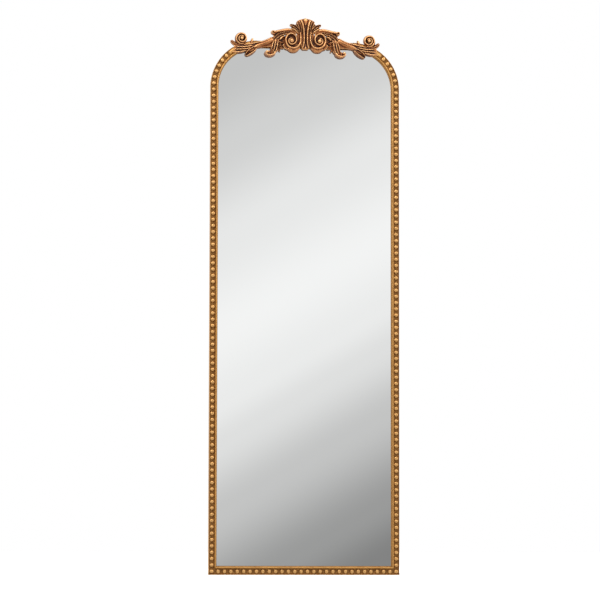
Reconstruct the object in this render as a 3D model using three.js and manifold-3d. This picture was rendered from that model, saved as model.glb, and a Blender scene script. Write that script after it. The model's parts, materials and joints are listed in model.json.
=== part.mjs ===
// Leaning floor mirror: a beaded gilt frame with an arched head, a carved crest and its back hardware.
// Pieces are drawn in face coordinates: x to the right, y up from the floor, z forward from the back
// of the frame. The last lines stand the face upright, with +Z up and the glass facing -Y.

import * as THREE from "three";
import { mergeVertices } from "three/addons/utils/BufferGeometryUtils.js";
import Module from "manifold-3d";

const wasm = await Module();
wasm.setup();

// ---------------------------------------------------------------- driving dimensions, millimetres

const frameWidth = 559;
const frameHeight = 1566;
const cornerRadius = 138;
const clearance = 0.3; // between pieces that touch
const castingGap = 0.5; // between neighbouring castings of the crest

// Moulding section, measured inward from the outer edge and forward from the back.
const faceWidth = 25;
const lipWidth = 2.4;
const lipHeight = 21;
const lipChamfer = 0.6;
const channelFloor = 15.5;
const channelWidth = 12;
const ridgeHeight = 24;
const ridgeWidth = 6.6;
const torusHeight = 21.4; // plain round that fills the channel above the last bead
const innerEdgeHeight = 14;
const rebateWidth = 8;
const rebateDepth = 10.6;

const beadRadius = 6;
const beadPitch = 18.4;
const beadedArc = THREE.MathUtils.degToRad(52); // how far the beads climb each upper corner
const beadSides = 6;
const cornerSteps = 10;

const glassThickness = 4;
const spacerThickness = 1.4;
const spacerWidth = 12;
const spacerEndGap = 20;
const edgePlay = 0.6; // glass and board in the rebate

const buttonsPerStile = 3;
const buttonEndInset = 190;
const buttonLength = 32;
const buttonWidth = 10;
const buttonThickness = 1.5;
const buttonTail = 6.5; // from the pivot to the outer end

const screwHeadRadius = 3.4;
const screwHeadHeight = 1.6;
const screwShankRadius = 1.8;
const screwLength = 12;
const screwHolePlay = 0.4;

const hangerDrop = 110; // below the joint of stile and corner
const strapWidth = 11;
const strapLength = 36;
const strapThickness = 1.2;
const strapScrewSpots = [7.5, 26]; // above the ring's axis
const ringWireRadius = 1.1;
const ringPlay = 0.35;
const ringHalfWidth = 6.9;
const ringLegLength = 4;

const plateWidth = 10;
const plateThickness = 1.5;
const cornerPlateArm = 62;
const jointPlateLength = 50;

const bumperRadius = 6;
const bumperHeight = 6;
const bumperRise = 110; // lower bumpers above the floor

// The crest is placed from the middle of the top rail's upper edge.
const crestSeat = 14; // back of the castings, ahead of the glass
const crestRelief = 21; // their greatest thickness
const eyeX = 40;
const eyeY = 4;
const voluteRadius = 19.5;
const shoulderX = 100;
const shoulderY = 29;
const rosetteOutset = 45.5; // from the centre of the corner's arc
const rosetteY = 5;
const rosetteRadius = 14.5;

// ---------------------------------------------------------------- values that follow from them

const halfWidth = frameWidth / 2;
const cornerX = halfWidth - cornerRadius;
const cornerY = frameHeight - cornerRadius;
const beadInset = lipWidth + channelWidth / 2;
const ridgeStart = lipWidth + channelWidth;
const rebateEdge = faceWidth - rebateWidth;
const backFace = -clearance; // where hardware on the back begins
const glassFront = rebateDepth - clearance;
const glassBack = glassFront - glassThickness;
const spacerFront = glassBack - clearance;
const boardFront = spacerFront - spacerThickness - clearance;
const boardThickness = boardFront;
const backMiddle = rebateEdge / 2; // middle of the narrow back face

// ---------------------------------------------------------------- finishes

function finish(color, roughness, metalness) {
  return { color, roughness, metalness };
}

const gilt = finish(0xa8743a, 0.42, 0.75);
const antiqueGilt = finish(0x9a5f35, 0.45, 0.75);
const silvered = finish(0xd4d6d8, 0.03, 1);
const fibreboard = finish(0x8a6a48, 0.85, 0);
const foam = finish(0xdedcd6, 0.95, 0);
const zincSteel = finish(0xb9bcc0, 0.35, 0.9);
const rubber = finish(0x2a2a2c, 0.8, 0);

// ---------------------------------------------------------------- solids

// A closed geometry as a solid that can be joined or cut.
function toSolid(geometry) {
  const bare = new THREE.BufferGeometry();
  bare.setAttribute("position", geometry.getAttribute("position"));
  bare.setIndex(geometry.index);
  const merged = mergeVertices(bare, 1e-4);
  const corners = [];
  for (let i = 0; i < merged.index.count; i += 3) {
    const [a, b, c] = [0, 1, 2].map((k) => merged.index.getX(i + k));
    if (a !== b && b !== c && c !== a) corners.push(a, b, c);
  }
  return new wasm.Manifold(
    new wasm.Mesh({
      numProp: 3,
      vertProperties: new Float32Array(merged.attributes.position.array),
      triVerts: new Uint32Array(corners),
    }),
  );
}

function toGeometry(solid) {
  const mesh = solid.getMesh();
  const geometry = new THREE.BufferGeometry();
  geometry.setAttribute("position", new THREE.BufferAttribute(mesh.vertProperties, 3));
  geometry.setIndex(new THREE.BufferAttribute(mesh.triVerts, 1));
  geometry.computeVertexNormals();
  return geometry;
}

function join(solids) {
  return solids.reduce((whole, next) => whole.add(next));
}

function cut(solid, cutters) {
  return cutters.reduce((rest, next) => rest.subtract(next), solid);
}

// The largest body, without the crumbs that a cut leaves.
function mainBody(solid) {
  return solid.decompose().reduce((best, body) => (body.volume() > best.volume() ? body : best));
}

// Rings of points, all of the same outline, skinned and capped. A closed loop of rings has no caps.
function loft(rings, outline, closed = false) {
  const count = outline.length;
  const positions = rings.flat().flatMap((p) => [p.x, p.y, p.z]);
  const index = [];
  const bands = closed ? rings.length : rings.length - 1;
  for (let r = 0; r < bands; r += 1) {
    const next = (r + 1) % rings.length;
    for (let i = 0; i < count; i += 1) {
      const j = (i + 1) % count;
      const [a, b, c, d] = [r * count + i, r * count + j, next * count + j, next * count + i];
      index.push(a, b, c, a, c, d);
    }
  }
  if (!closed) {
    const last = (rings.length - 1) * count;
    for (const [a, b, c] of THREE.ShapeUtils.triangulateShape(outline, [])) {
      index.push(a, c, b, last + a, last + b, last + c);
    }
  }
  const geometry = new THREE.BufferGeometry();
  geometry.setAttribute("position", new THREE.Float32BufferAttribute(positions, 3));
  geometry.setIndex(index);
  return geometry;
}

function extrude(shape, back, front, curveSegments = 8) {
  const geometry = new THREE.ExtrudeGeometry(shape, {
    depth: front - back,
    bevelEnabled: false,
    curveSegments,
  });
  return geometry.translate(0, 0, back);
}

// A turned piece whose axis runs along z. The profile is a list of [radius, z] from back to front.
function turned(profile, sides) {
  const points = profile.map(([radius, z]) => new THREE.Vector2(radius, z));
  return new THREE.LatheGeometry(points, sides).rotateX(Math.PI / 2);
}

function rod(radius, back, front, sides) {
  return turned([[0, back], [radius, back], [radius, front], [0, front]], sides);
}

// ---------------------------------------------------------------- moulding

function point2(pair) {
  return new THREE.Vector2(pair[0], pair[1]);
}

// The section runs round counter-clockwise with the back at z = 0: x is the inward distance.
function mouldingSection(withChannel) {
  const ridgeTop = ridgeStart + ridgeWidth / 2;
  const ridgeEnd = ridgeStart + ridgeWidth;
  const channel = [
    [ridgeStart, channelFloor],
    [lipWidth, channelFloor],
  ];
  const torusSide = (torusHeight + 2 * channelFloor) / 3;
  const torusShoulder = torusHeight - 1.1;
  const torus = [
    [ridgeStart, torusSide],
    [beadInset + channelWidth * 0.29, torusShoulder],
    [beadInset, torusHeight],
    [beadInset - channelWidth * 0.29, torusShoulder],
    [lipWidth, torusSide],
  ];
  return [
    [0, 0],
    [rebateEdge, 0],
    [rebateEdge, rebateDepth],
    [faceWidth, rebateDepth],
    [faceWidth, innerEdgeHeight],
    [(faceWidth + ridgeEnd) / 2, (innerEdgeHeight + ridgeHeight) / 2 - 1.8],
    [ridgeEnd, ridgeHeight - 2.6],
    [ridgeTop + ridgeWidth * 0.26, ridgeHeight - 0.7],
    [ridgeTop, ridgeHeight],
    [ridgeTop - ridgeWidth * 0.26, ridgeHeight - 0.7],
    [ridgeStart + lipChamfer / 2, ridgeHeight - 3],
    ...(withChannel ? channel : torus),
    [lipWidth, lipHeight - lipChamfer],
    [lipWidth - lipChamfer, lipHeight],
    [lipChamfer, lipHeight],
    [0, lipHeight - 2 * lipChamfer],
  ].map(point2);
}

// The plain envelope of the section, which the crest castings are coped over.
function envelopeSection() {
  return [
    [0, 0],
    [faceWidth, 0],
    [faceWidth, innerEdgeHeight],
    [ridgeStart + ridgeWidth, ridgeHeight - 2.6],
    [ridgeStart + ridgeWidth * 0.76, ridgeHeight - 0.7],
    [ridgeStart + ridgeWidth / 2, ridgeHeight],
    [lipChamfer, lipHeight],
    [0, lipHeight - 2 * lipChamfer],
  ].map(point2);
}

// The same outline moved outward by a distance, for the seat that is cut in a piece laid over it.
function offsetOutline(outline, distance) {
  return outline.map((p, i) => {
    const before = outline[(i + outline.length - 1) % outline.length];
    const after = outline[(i + 1) % outline.length];
    const first = p.clone().sub(before).normalize();
    const second = after.clone().sub(p).normalize();
    const normal = new THREE.Vector2(first.y + second.y, -first.x - second.x).normalize();
    const reach = distance / Math.max(0.5, normal.dot(new THREE.Vector2(first.y, -first.x)));
    return p.clone().addScaledVector(normal, reach);
  });
}

// One ring of a section: at a place on the outer edge, with the direction that points inward.
function sectionRing(section, place, inward) {
  return section.map(
    (p) => new THREE.Vector3(place.x + inward.x * p.x, place.y + inward.y * p.x, p.y),
  );
}

// An upper right corner runs from the stile, angle 0, to the top rail, a quarter turn on.
function cornerRing(section, angle) {
  const outward = new THREE.Vector2(Math.cos(angle), Math.sin(angle));
  const place = new THREE.Vector2(cornerX, cornerY).addScaledVector(outward, cornerRadius);
  return sectionRing(section, place, outward.clone().negate());
}

function cornerSweep(section, from, to, steps) {
  const rings = [];
  for (let i = 0; i <= steps; i += 1) {
    rings.push(cornerRing(section, from + ((to - from) * i) / steps));
  }
  return rings;
}

function beadAt(x, y, extra = 0) {
  const sphere = new THREE.SphereGeometry(beadRadius + extra, beadSides, 4);
  const flatToWall = Math.PI / beadSides;
  sphere.rotateX(Math.PI / 2).rotateZ(flatToWall);
  return toSolid(sphere.translate(x, y, channelFloor));
}

// Beads start on the mitre of the lower corner and are spaced to end half a step below the joint.
const stileRun = cornerY - beadInset;
const stileIntervals = Math.round(stileRun / beadPitch - 0.5);
const stileStep = stileRun / (stileIntervals + 0.5);
const railRun = 2 * (halfWidth - beadInset);
const railIntervals = Math.round(railRun / beadPitch);
const railStep = railRun / railIntervals;
const arcBeadStep = stileStep / (cornerRadius - beadInset);

const strapAxisY = cornerY - hangerDrop;
const buttonRise = (cornerY - 2 * buttonEndInset) / (buttonsPerStile - 1);
const buttonHeights = Array.from(
  { length: buttonsPerStile },
  (_, i) => buttonEndInset + i * buttonRise,
);
const strapScrewHeights = strapScrewSpots.map((spot) => strapAxisY + spot);

function screwHole(x, y) {
  const hole = rod(screwShankRadius + clearance, -1, screwLength, 8);
  return toSolid(hole.translate(x, y, 0));
}

// Left and right pieces are mirror images: side is -1 or 1, and pieces are drawn for the right.
function mirrored(solid, side) {
  return side > 0 ? solid : solid.mirror([1, 0, 0]);
}

function stile() {
  const section = mouldingSection(true);
  const inward = new THREE.Vector2(-1, 0);
  const foot = section.map((p) => new THREE.Vector3(halfWidth - p.x, p.x + clearance, p.y));
  const head = sectionRing(section, new THREE.Vector2(halfWidth, cornerY), inward);
  const bar = toSolid(loft([foot, head], section));
  const beads = [];
  for (let i = 0; i <= stileIntervals; i += 1) {
    beads.push(beadAt(halfWidth - beadInset, beadInset + i * stileStep));
  }
  const holes = [...buttonHeights, ...strapScrewHeights].map((y) =>
    screwHole(halfWidth - backMiddle, y),
  );
  return cut(join([bar, ...beads]), holes);
}

function bottomRail() {
  const section = mouldingSection(true);
  const end = (side) =>
    section.map((p) => new THREE.Vector3(side * (halfWidth - p.x - clearance), p.x, p.y));
  const bar = toSolid(loft([end(-1), end(1)], section));
  const beads = [];
  for (let i = 1; i < railIntervals; i += 1) {
    beads.push(beadAt(-halfWidth + beadInset + i * railStep, beadInset));
  }
  const sockets = [-1, 1].map((side) =>
    beadAt(side * (halfWidth - beadInset), beadInset, clearance),
  );
  return cut(join([bar, ...beads]), sockets);
}

function corner() {
  const seam = clearance / cornerRadius;
  const quarter = Math.PI / 2;
  const bar = toSolid(
    loft(
      cornerSweep(mouldingSection(false), seam, quarter - seam, cornerSteps),
      mouldingSection(false),
    ),
  );
  const groove = [
    [lipWidth, channelFloor],
    [ridgeStart, channelFloor],
    [ridgeStart, ridgeHeight],
    [lipWidth, ridgeHeight],
  ].map(point2);
  const grooveStep = (quarter - 2 * seam) / cornerSteps;
  const grooveSteps = Math.round(beadedArc / grooveStep) + 1;
  const grooveFrom = seam - grooveStep;
  const channel = toSolid(
    loft(cornerSweep(groove, grooveFrom, grooveFrom + grooveStep * grooveSteps, grooveSteps), groove),
  );
  const beads = [];
  for (let angle = arcBeadStep / 2; angle < beadedArc - arcBeadStep / 2; angle += arcBeadStep) {
    const reach = cornerRadius - beadInset;
    beads.push(beadAt(cornerX + reach * Math.cos(angle), cornerY + reach * Math.sin(angle)));
  }
  return join([bar.subtract(channel), ...beads]);
}

function topRail() {
  const section = mouldingSection(false);
  const ends = [cornerX - clearance, clearance - cornerX];
  const inward = new THREE.Vector2(0, -1);
  const rings = ends.map((x) => sectionRing(section, new THREE.Vector2(x, frameHeight), inward));
  return toSolid(loft(rings, section));
}

// The whole head of the frame, grown by the clearance: what the crest castings are coped over.
function headSeat() {
  const section = offsetOutline(envelopeSection(), clearance);
  const right = cornerSweep(section, 0, Math.PI / 2, cornerSteps);
  const left = right
    .map((ring) => ring.map((p) => new THREE.Vector3(-p.x, p.y, p.z)))
    .reverse();
  return toSolid(loft([...right, ...left], section));
}

// ---------------------------------------------------------------- glass, spacers and board

// The arched outline of what lies in the rebate, a distance inside the outer edge.
function archShape(inset) {
  const x = halfWidth - inset;
  const radius = cornerRadius - inset;
  const shape = new THREE.Shape();
  shape.moveTo(-x, inset);
  shape.lineTo(x, inset);
  shape.lineTo(x, cornerY);
  shape.absarc(cornerX, cornerY, radius, 0, Math.PI / 2, false);
  shape.absarc(-cornerX, cornerY, radius, Math.PI / 2, Math.PI, false);
  return shape;
}

const sheetInset = rebateEdge + edgePlay;

function spacer(x0, x1, y0, y1) {
  const width = x1 - x0;
  const height = y1 - y0;
  const box = new THREE.BoxGeometry(width, height, spacerThickness);
  return box.translate(x0 + width / 2, y0 + height / 2, spacerFront - spacerThickness / 2);
}

// ---------------------------------------------------------------- hardware on the back

// A pan-head screw that points forward into the frame. Its head lies under the plate at a depth.
function screw(plate) {
  const seat = backFace - plate - clearance;
  return turned(
    [
      [0, seat - screwHeadHeight],
      [screwHeadRadius * 0.7, seat - screwHeadHeight],
      [screwHeadRadius, seat - screwHeadHeight * 0.4],
      [screwHeadRadius, seat],
      [screwShankRadius, seat],
      [screwShankRadius, screwLength - 3],
      [0, screwLength - clearance],
    ],
    6,
  );
}

// A strip with round ends and a pivot hole, drawn along x with the pivot at the origin.
function turnButton() {
  const radius = buttonWidth / 2;
  const tip = buttonLength - buttonTail - radius;
  const tail = buttonTail - radius;
  const shape = new THREE.Shape();
  shape.moveTo(-tip, -radius);
  shape.lineTo(tail, -radius);
  shape.absarc(tail, 0, radius, -Math.PI / 2, Math.PI / 2, false);
  shape.lineTo(-tip, radius);
  shape.absarc(-tip, 0, radius, Math.PI / 2, (3 * Math.PI) / 2, false);
  shape.holes.push(
    new THREE.Path().absarc(0, 0, screwShankRadius + screwHolePlay, 0, 2 * Math.PI, true),
  );
  return extrude(shape, backFace - buttonThickness, backFace, 4);
}

const barrelBore = ringWireRadius + ringPlay;
const barrelRadius = barrelBore + strapThickness;
const ringAxisZ = backFace - barrelRadius;

// A strap with its lower end rolled into a barrel, drawn as its side view and extruded across.
function strapHanger() {
  const side = new THREE.Shape();
  side.moveTo(0, barrelRadius);
  side.absarc(0, 0, barrelRadius, Math.PI / 2, 2 * Math.PI - 0.5, false);
  side.lineTo(barrelRadius + strapThickness, barrelRadius - strapThickness);
  side.lineTo(strapLength, barrelRadius - strapThickness);
  side.lineTo(strapLength, barrelRadius);
  side.holes.push(new THREE.Path().absarc(0, 0, barrelBore, 0, 2 * Math.PI, true));
  const strap = new THREE.ExtrudeGeometry(side, {
    depth: strapWidth,
    bevelEnabled: false,
    curveSegments: 5,
  });
  strap.translate(0, 0, -strapWidth / 2);
  strap.applyMatrix4(
    new THREE.Matrix4().makeBasis(
      new THREE.Vector3(0, 1, 0),
      new THREE.Vector3(0, 0, 1),
      new THREE.Vector3(1, 0, 0),
    ),
  );
  strap.translate(halfWidth - backMiddle, strapAxisY, ringAxisZ);
  const holes = strapScrewHeights.map((y) => {
    const hole = rod(screwShankRadius + screwHolePlay, backFace - strapThickness - 1, 1, 8);
    return toSolid(hole.translate(halfWidth - backMiddle, y, 0));
  });
  return cut(toSolid(strap), holes);
}

// The D-ring's bar lies on its hinge axis, and its bow hangs below.
function ringOutline() {
  const path = new THREE.Path();
  const bend = 2.2;
  path.moveTo(bend - ringHalfWidth, 0);
  path.lineTo(ringHalfWidth - bend, 0);
  path.quadraticCurveTo(ringHalfWidth, 0, ringHalfWidth, -bend);
  path.lineTo(ringHalfWidth, -ringLegLength);
  path.absarc(0, -ringLegLength, ringHalfWidth, 0, -Math.PI, true);
  path.lineTo(-ringHalfWidth, -bend);
  path.quadraticCurveTo(-ringHalfWidth, 0, bend - ringHalfWidth, 0);
  return path;
}

function dRing() {
  const steps = 18;
  const sides = 5;
  const wire = Array.from({ length: sides }, (_, i) => {
    const angle = (2 * Math.PI * (i + 0.5)) / sides;
    return new THREE.Vector2(Math.cos(angle), Math.sin(angle)).multiplyScalar(ringWireRadius);
  });
  const path = ringOutline();
  const rings = [];
  for (let i = 0; i < steps; i += 1) {
    const at = path.getPointAt(i / steps);
    const along = path.getTangentAt(i / steps);
    rings.push(
      wire.map((p) => new THREE.Vector3(at.x + along.y * p.x, at.y - along.x * p.x, p.y)),
    );
  }
  return loft(rings.reverse(), wire, true);
}

function plateShape(width, height) {
  const shape = new THREE.Shape();
  shape.moveTo(-width / 2, -height / 2);
  shape.lineTo(width / 2, -height / 2);
  shape.lineTo(width / 2, height / 2);
  shape.lineTo(-width / 2, height / 2);
  return shape;
}

function cornerPlate() {
  const edge = (rebateEdge - plateWidth) / 2;
  const shape = new THREE.Shape();
  const outer = halfWidth - edge;
  const inner = outer - plateWidth;
  shape.moveTo(outer, edge);
  shape.lineTo(outer, edge + cornerPlateArm);
  shape.lineTo(inner, edge + cornerPlateArm);
  shape.lineTo(inner, edge + plateWidth);
  shape.lineTo(outer - cornerPlateArm, edge + plateWidth);
  shape.lineTo(outer - cornerPlateArm, edge);
  return extrude(shape, backFace - plateThickness, backFace);
}

// ---------------------------------------------------------------- crest

// A spiral about an eye, whose radius shrinks by the same share in each turn.
class VoluteCurve extends THREE.Curve {
  constructor(eye, startAngle, turn, startRadius, endRadius) {
    super();
    Object.assign(this, { eye, startAngle, turn, startRadius, endRadius });
  }

  getPoint(t, target = new THREE.Vector2()) {
    const angle = this.startAngle + this.turn * t;
    const radius = this.startRadius * (this.endRadius / this.startRadius) ** t;
    return target.set(
      this.eye.x + radius * Math.cos(angle),
      this.eye.y + radius * Math.sin(angle),
    );
  }
}

// Carved sections: across from -1 to 1, and rise from 0, the flat back, to 1. A piece laid against
// a section is cut by its envelope, which has no flute.
const ridgedOutline = [
  [1, 0],
  [0.78, 0.72],
  [0, 1],
  [-0.78, 0.72],
  [-1, 0],
].map(point2);
const ridgedSection = { carved: ridgedOutline, envelope: ridgedOutline };
const fluteDepth = new THREE.Vector2(0, 0.76);
const flutedSection = {
  carved: [point2([1, 0]), point2([0.66, 1]), fluteDepth, point2([-0.66, 1]), point2([-1, 0])],
  envelope: [point2([1, 0]), point2([0.66, 1]), point2([-0.66, 1]), point2([-1, 0])],
};

function valueAlong(values, t) {
  const place = t * (values.length - 1);
  const i = Math.min(Math.floor(place), values.length - 2);
  return THREE.MathUtils.lerp(values[i], values[i + 1], place - i);
}

// A flat-backed band that follows a plane curve. Widths are half widths, and rises are shares of
// the relief, both given at even steps along it. It can be grown on all sides for a seat.
function carvedBand({ curve, steps, widths, rises, section }, grow) {
  const rings = [];
  const unit = grow > 0 ? section.envelope : section.carved;
  for (let i = 0; i <= steps; i += 1) {
    const t = i / steps;
    const at = curve.getPoint(t);
    const along = curve.getTangent(t);
    if (i === 0) at.addScaledVector(along, -grow);
    if (i === steps) at.addScaledVector(along, grow);
    const reach = valueAlong(widths, t) + grow;
    const rise = valueAlong(rises, t) * crestRelief + grow;
    rings.push(
      unit.map(
        (p) =>
          new THREE.Vector3(
            at.x - along.y * p.x * reach,
            at.y + along.x * p.x * reach,
            p.y === 0 ? -grow : p.y * rise,
          ),
      ),
    );
  }
  return toSolid(loft(rings, unit));
}

function spline(points) {
  return new THREE.SplineCurve(points.map(point2));
}

// A round boss, such as the eye of a volute.
function boss(x, y, radius, rise, grow) {
  const height = rise * crestRelief + grow;
  const wide = radius + grow;
  const profile = [
    [0, -grow],
    [wide, -grow],
    [wide, height * 0.72],
    [wide * 0.6, height * 0.95],
    [0, height],
  ];
  return toSolid(turned(profile, 10).translate(x, y, 0));
}

function palmetteBands() {
  const lobe = (side, points, widths, steps) => ({
    curve: spline(points.map(([x, y]) => [side * x, y])),
    steps,
    widths,
    rises: [0.62, 0.72, 0.8, 0.9, 0.78],
    section: flutedSection,
  });
  const sides = [-1, 1].flatMap((side) => [
    lobe(side, [[5, -6], [6.5, 14], [10, 36], [15, 50], [24, 61]], [2, 3.2, 4.2, 5, 1.6], 8),
    lobe(side, [[9, 6], [14, 22], [22, 35], [33, 43], [47, 48]], [2.4, 4, 5, 5, 1.6], 8),
  ]);
  const middle = {
    curve: spline([[0, -24], [0, 10], [0, 40], [0, 70]]),
    steps: 9,
    widths: [4, 2.2, 2.4, 3.4, 6, 9.5, 9, 4.5],
    rises: [0.7, 0.75, 0.82, 0.9, 0.96, 0.92],
    section: flutedSection,
  };
  return [middle, ...sides];
}

function scrollBands(side) {
  const eye = new THREE.Vector2(side * eyeX, eyeY);
  const start = side > 0 ? -2.3 : Math.PI + 2.3;
  const volute = {
    curve: new VoluteCurve(eye, start, side * 4.1 * Math.PI, voluteRadius, 5.2),
    steps: 26,
    widths: [3.2, 4.4, 3.6, 2.7, 2.4, 2, 1.7],
    rises: [0.66, 0.76, 0.8, 0.84, 0.88, 0.92, 0.95],
    section: ridgedSection,
  };
  const stem = {
    curve: spline(
      [[17, 26], [14.5, 10], [15.5, -5], [24, -15.5], [39, -20], [53, -16.5], [62.5, -5]].map(
        ([x, y]) => [side * x, y],
      ),
    ),
    steps: 12,
    widths: [2.2, 3.4, 4.4, 5.2, 4.8, 1.6],
    rises: [0.7, 0.72, 0.74, 0.74, 0.7, 0.6],
    section: flutedSection,
  };
  return [volute, stem];
}

function acanthusBands(side) {
  const on = (points) => spline(points.map(([x, y]) => [side * x, y]));
  const shoulder = {
    curve: on([[33, 33], [54, 30], [76, 24], [shoulderX - 9, 22.5], [shoulderX, shoulderY]]),
    steps: 9,
    widths: [4.5, 6, 6.5, 5.5, 1.8],
    rises: [0.6, 0.72, 0.8, 0.84, 0.76],
    section: flutedSection,
  };
  const drop = {
    curve: on([
      [70, 20],
      [80, 6],
      [84, -12],
      [89, -32],
      [101, -46],
      [114, -44],
      [118, -35],
      [111, -31],
    ]),
    steps: 15,
    widths: [7, 8.5, 8, 7, 6.4, 5.6, 4.2, 3.2],
    rises: [0.6, 0.72, 0.8, 0.84, 0.86, 0.84, 0.8, 0.76],
    section: flutedSection,
  };
  const leaflets = [
    [[78, 6], [69, 1], [66, -9]],
    [[83, -8], [74, -12], [69, -26]],
    [[86, -22], [79, -28], [77, -39]],
  ].map((points) => ({
    curve: on(points),
    steps: 4,
    widths: [3.4, 3.8, 1.2],
    rises: [0.62, 0.66, 0.55],
    section: ridgedSection,
  }));
  return [shoulder, drop, ...leaflets];
}

function branchBands(side) {
  const rosetteX = cornerX + rosetteOutset;
  const on = (points) => spline(points.map(([x, y]) => [side * x, y]));
  const stemStart = shoulderX - 10;
  const along = (share) => stemStart + (rosetteX - stemStart) * share;
  const stem = {
    curve: on([
      [along(0), 15],
      [along(0.2), 6],
      [along(0.42), -3],
      [along(0.68), -12],
      [along(0.92), -12.5],
    ]),
    steps: 9,
    widths: [5, 5.6, 5.2, 4.4, 4],
    rises: [0.66, 0.74, 0.78, 0.76, 0.72],
    section: flutedSection,
  };
  const startAngle = side > 0 ? -1.75 : Math.PI + 1.75;
  const eye = new THREE.Vector2(side * rosetteX, rosetteY);
  const curl = {
    curve: new VoluteCurve(eye, startAngle, side * 3.1 * Math.PI, rosetteRadius + 3, 4.6),
    steps: 20,
    widths: [3.6, 4.2, 3.4, 2.8, 2.2],
    rises: [0.72, 0.76, 0.8, 0.84, 0.88],
    section: ridgedSection,
  };
  const lowerLeaf = {
    curve: on([
      [along(0.34), -4],
      [along(0.56), -16],
      [along(0.72), -29],
      [along(0.86), -46],
    ]),
    steps: 8,
    widths: [3, 6, 7, 5.5, 1.4],
    rises: [0.7, 0.82, 0.84, 0.8, 0.66],
    section: flutedSection,
  };
  const bud = {
    curve: on([
      [along(0.5), -7],
      [along(0.6), -6],
      [along(0.66), 6],
    ]),
    steps: 5,
    widths: [3, 3.8, 1.8],
    rises: [0.66, 0.68, 0.6],
    section: ridgedSection,
  };
  const leaflet = {
    curve: on([
      [rosetteX + 6, -16],
      [rosetteX + 20, -12],
      [rosetteX + 31, -2],
    ]),
    steps: 5,
    widths: [5, 4.6, 1.4],
    rises: [0.74, 0.74, 0.62],
    section: ridgedSection,
  };
  const sheath = {
    curve: on([
      [along(0.88), -15],
      [rosetteX + 8, -21],
      [rosetteX + 24, -31],
    ]),
    steps: 6,
    widths: [5, 8, 3],
    rises: [0.7, 0.68, 0.5],
    section: ridgedSection,
  };
  return [stem, curl, lowerLeaf, bud, leaflet, sheath];
}

function casting(bands, bosses, grow = 0) {
  const parts = bands.map((band) => carvedBand(band, grow));
  const eyes = bosses.map(([x, y, radius, rise]) => boss(x, y, radius, rise, grow));
  return join([...parts, ...eyes]).translate([0, frameHeight, crestSeat]);
}

function scroll(side, grow = 0) {
  return casting(scrollBands(side), [[side * eyeX, eyeY, 5.6, 1]], grow);
}

function palmette(grow = 0) {
  return casting(palmetteBands(), [], grow);
}

function acanthus(side, grow = 0) {
  return casting(acanthusBands(side), [[side * 112.5, -36, 5.2, 0.9]], grow);
}

function branch(side, grow = 0) {
  const rosetteX = side * (cornerX + rosetteOutset);
  return casting(branchBands(side), [[rosetteX, rosetteY, 5.4, 0.97]], grow);
}

// ---------------------------------------------------------------- assembly

const face = new THREE.Group();

function addPiece(name, shape, look) {
  const geometry = shape.isBufferGeometry ? shape : toGeometry(shape);
  const mesh = new THREE.Mesh(geometry, new THREE.MeshStandardMaterial({ ...look }));
  mesh.name = name;
  face.add(mesh);
  return mesh;
}

const sides = [
  ["left", -1],
  ["right", 1],
];

addPiece("bottom_rail", bottomRail(), gilt);
addPiece("top_rail", topRail(), gilt);
addPiece("mirror_glass", extrude(archShape(sheetInset), glassBack, glassFront), silvered);
addPiece("backing_board", extrude(archShape(sheetInset), 0, boardThickness), fibreboard);

const rightStile = stile();
const rightCorner = corner();
const seat = headSeat();
const palmetteSeat = palmette(castingGap);
const scrollSeats = sides.map(([, side]) => scroll(side, castingGap));

addPiece("crest_palmette", mainBody(cut(palmette(), [seat, ...scrollSeats])), antiqueGilt);

for (const [hand, side] of sides) {
  addPiece(`${hand}_stile`, mirrored(rightStile, side), gilt);
  addPiece(`${hand}_corner`, mirrored(rightCorner, side), gilt);
  const neighbours = [seat, palmetteSeat, scroll(side, castingGap)];
  addPiece(`${hand}_c_scroll`, mainBody(cut(scroll(side), [seat])), antiqueGilt);
  addPiece(`${hand}_acanthus`, mainBody(cut(acanthus(side), neighbours)), antiqueGilt);
  const flank = acanthus(side, castingGap);
  addPiece(`${hand}_branch`, mainBody(cut(branch(side), [seat, flank])), antiqueGilt);
  addPiece(
    `${hand}_corner_plate`,
    mirrored(toSolid(cornerPlate()), side),
    zincSteel,
  );
}

// Foam strips lie behind the glass, along its straight edges.
const foamEdge = halfWidth - sheetInset;
for (const [hand, side] of sides) {
  const outer = side * foamEdge;
  const inner = side * (foamEdge - spacerWidth);
  const strip = spacer(
    Math.min(outer, inner),
    Math.max(outer, inner),
    sheetInset + spacerEndGap,
    cornerY,
  );
  addPiece(`${hand}_foam_strip`, strip, foam);
}
const shortStrip = cornerX;
addPiece(
  "lower_foam_strip",
  spacer(-shortStrip, shortStrip, sheetInset, sheetInset + spacerWidth),
  foam,
);
addPiece(
  "upper_foam_strip",
  spacer(
    -shortStrip,
    shortStrip,
    frameHeight - sheetInset - spacerWidth,
    frameHeight - sheetInset,
  ),
  foam,
);

// Turn buttons point inward over the board, each on its own screw.
for (const [hand, side] of sides) {
  buttonHeights.forEach((height, i) => {
    const x = side * (halfWidth - backMiddle);
    const button = addPiece(`${hand}_turn_button_${i + 1}`, turnButton(), zincSteel);
    button.position.set(x, height, 0);
    if (side < 0) button.rotation.z = Math.PI;
    const pin = addPiece(`${hand}_button_screw_${i + 1}`, screw(buttonThickness), zincSteel);
    pin.position.set(x, height, 0);
  });
}

for (const [hand, side] of sides) {
  const x = side * (halfWidth - backMiddle);
  addPiece(`${hand}_strap_hanger`, mirrored(strapHanger(), side), zincSteel);
  const ring = addPiece(`${hand}_d_ring`, dRing(), zincSteel);
  ring.position.set(x, strapAxisY, ringAxisZ);
  strapScrewHeights.forEach((height, i) => {
    const pin = addPiece(`${hand}_strap_screw_${i + 1}`, screw(strapThickness), zincSteel);
    pin.position.set(x, height, 0);
  });
}

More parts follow.
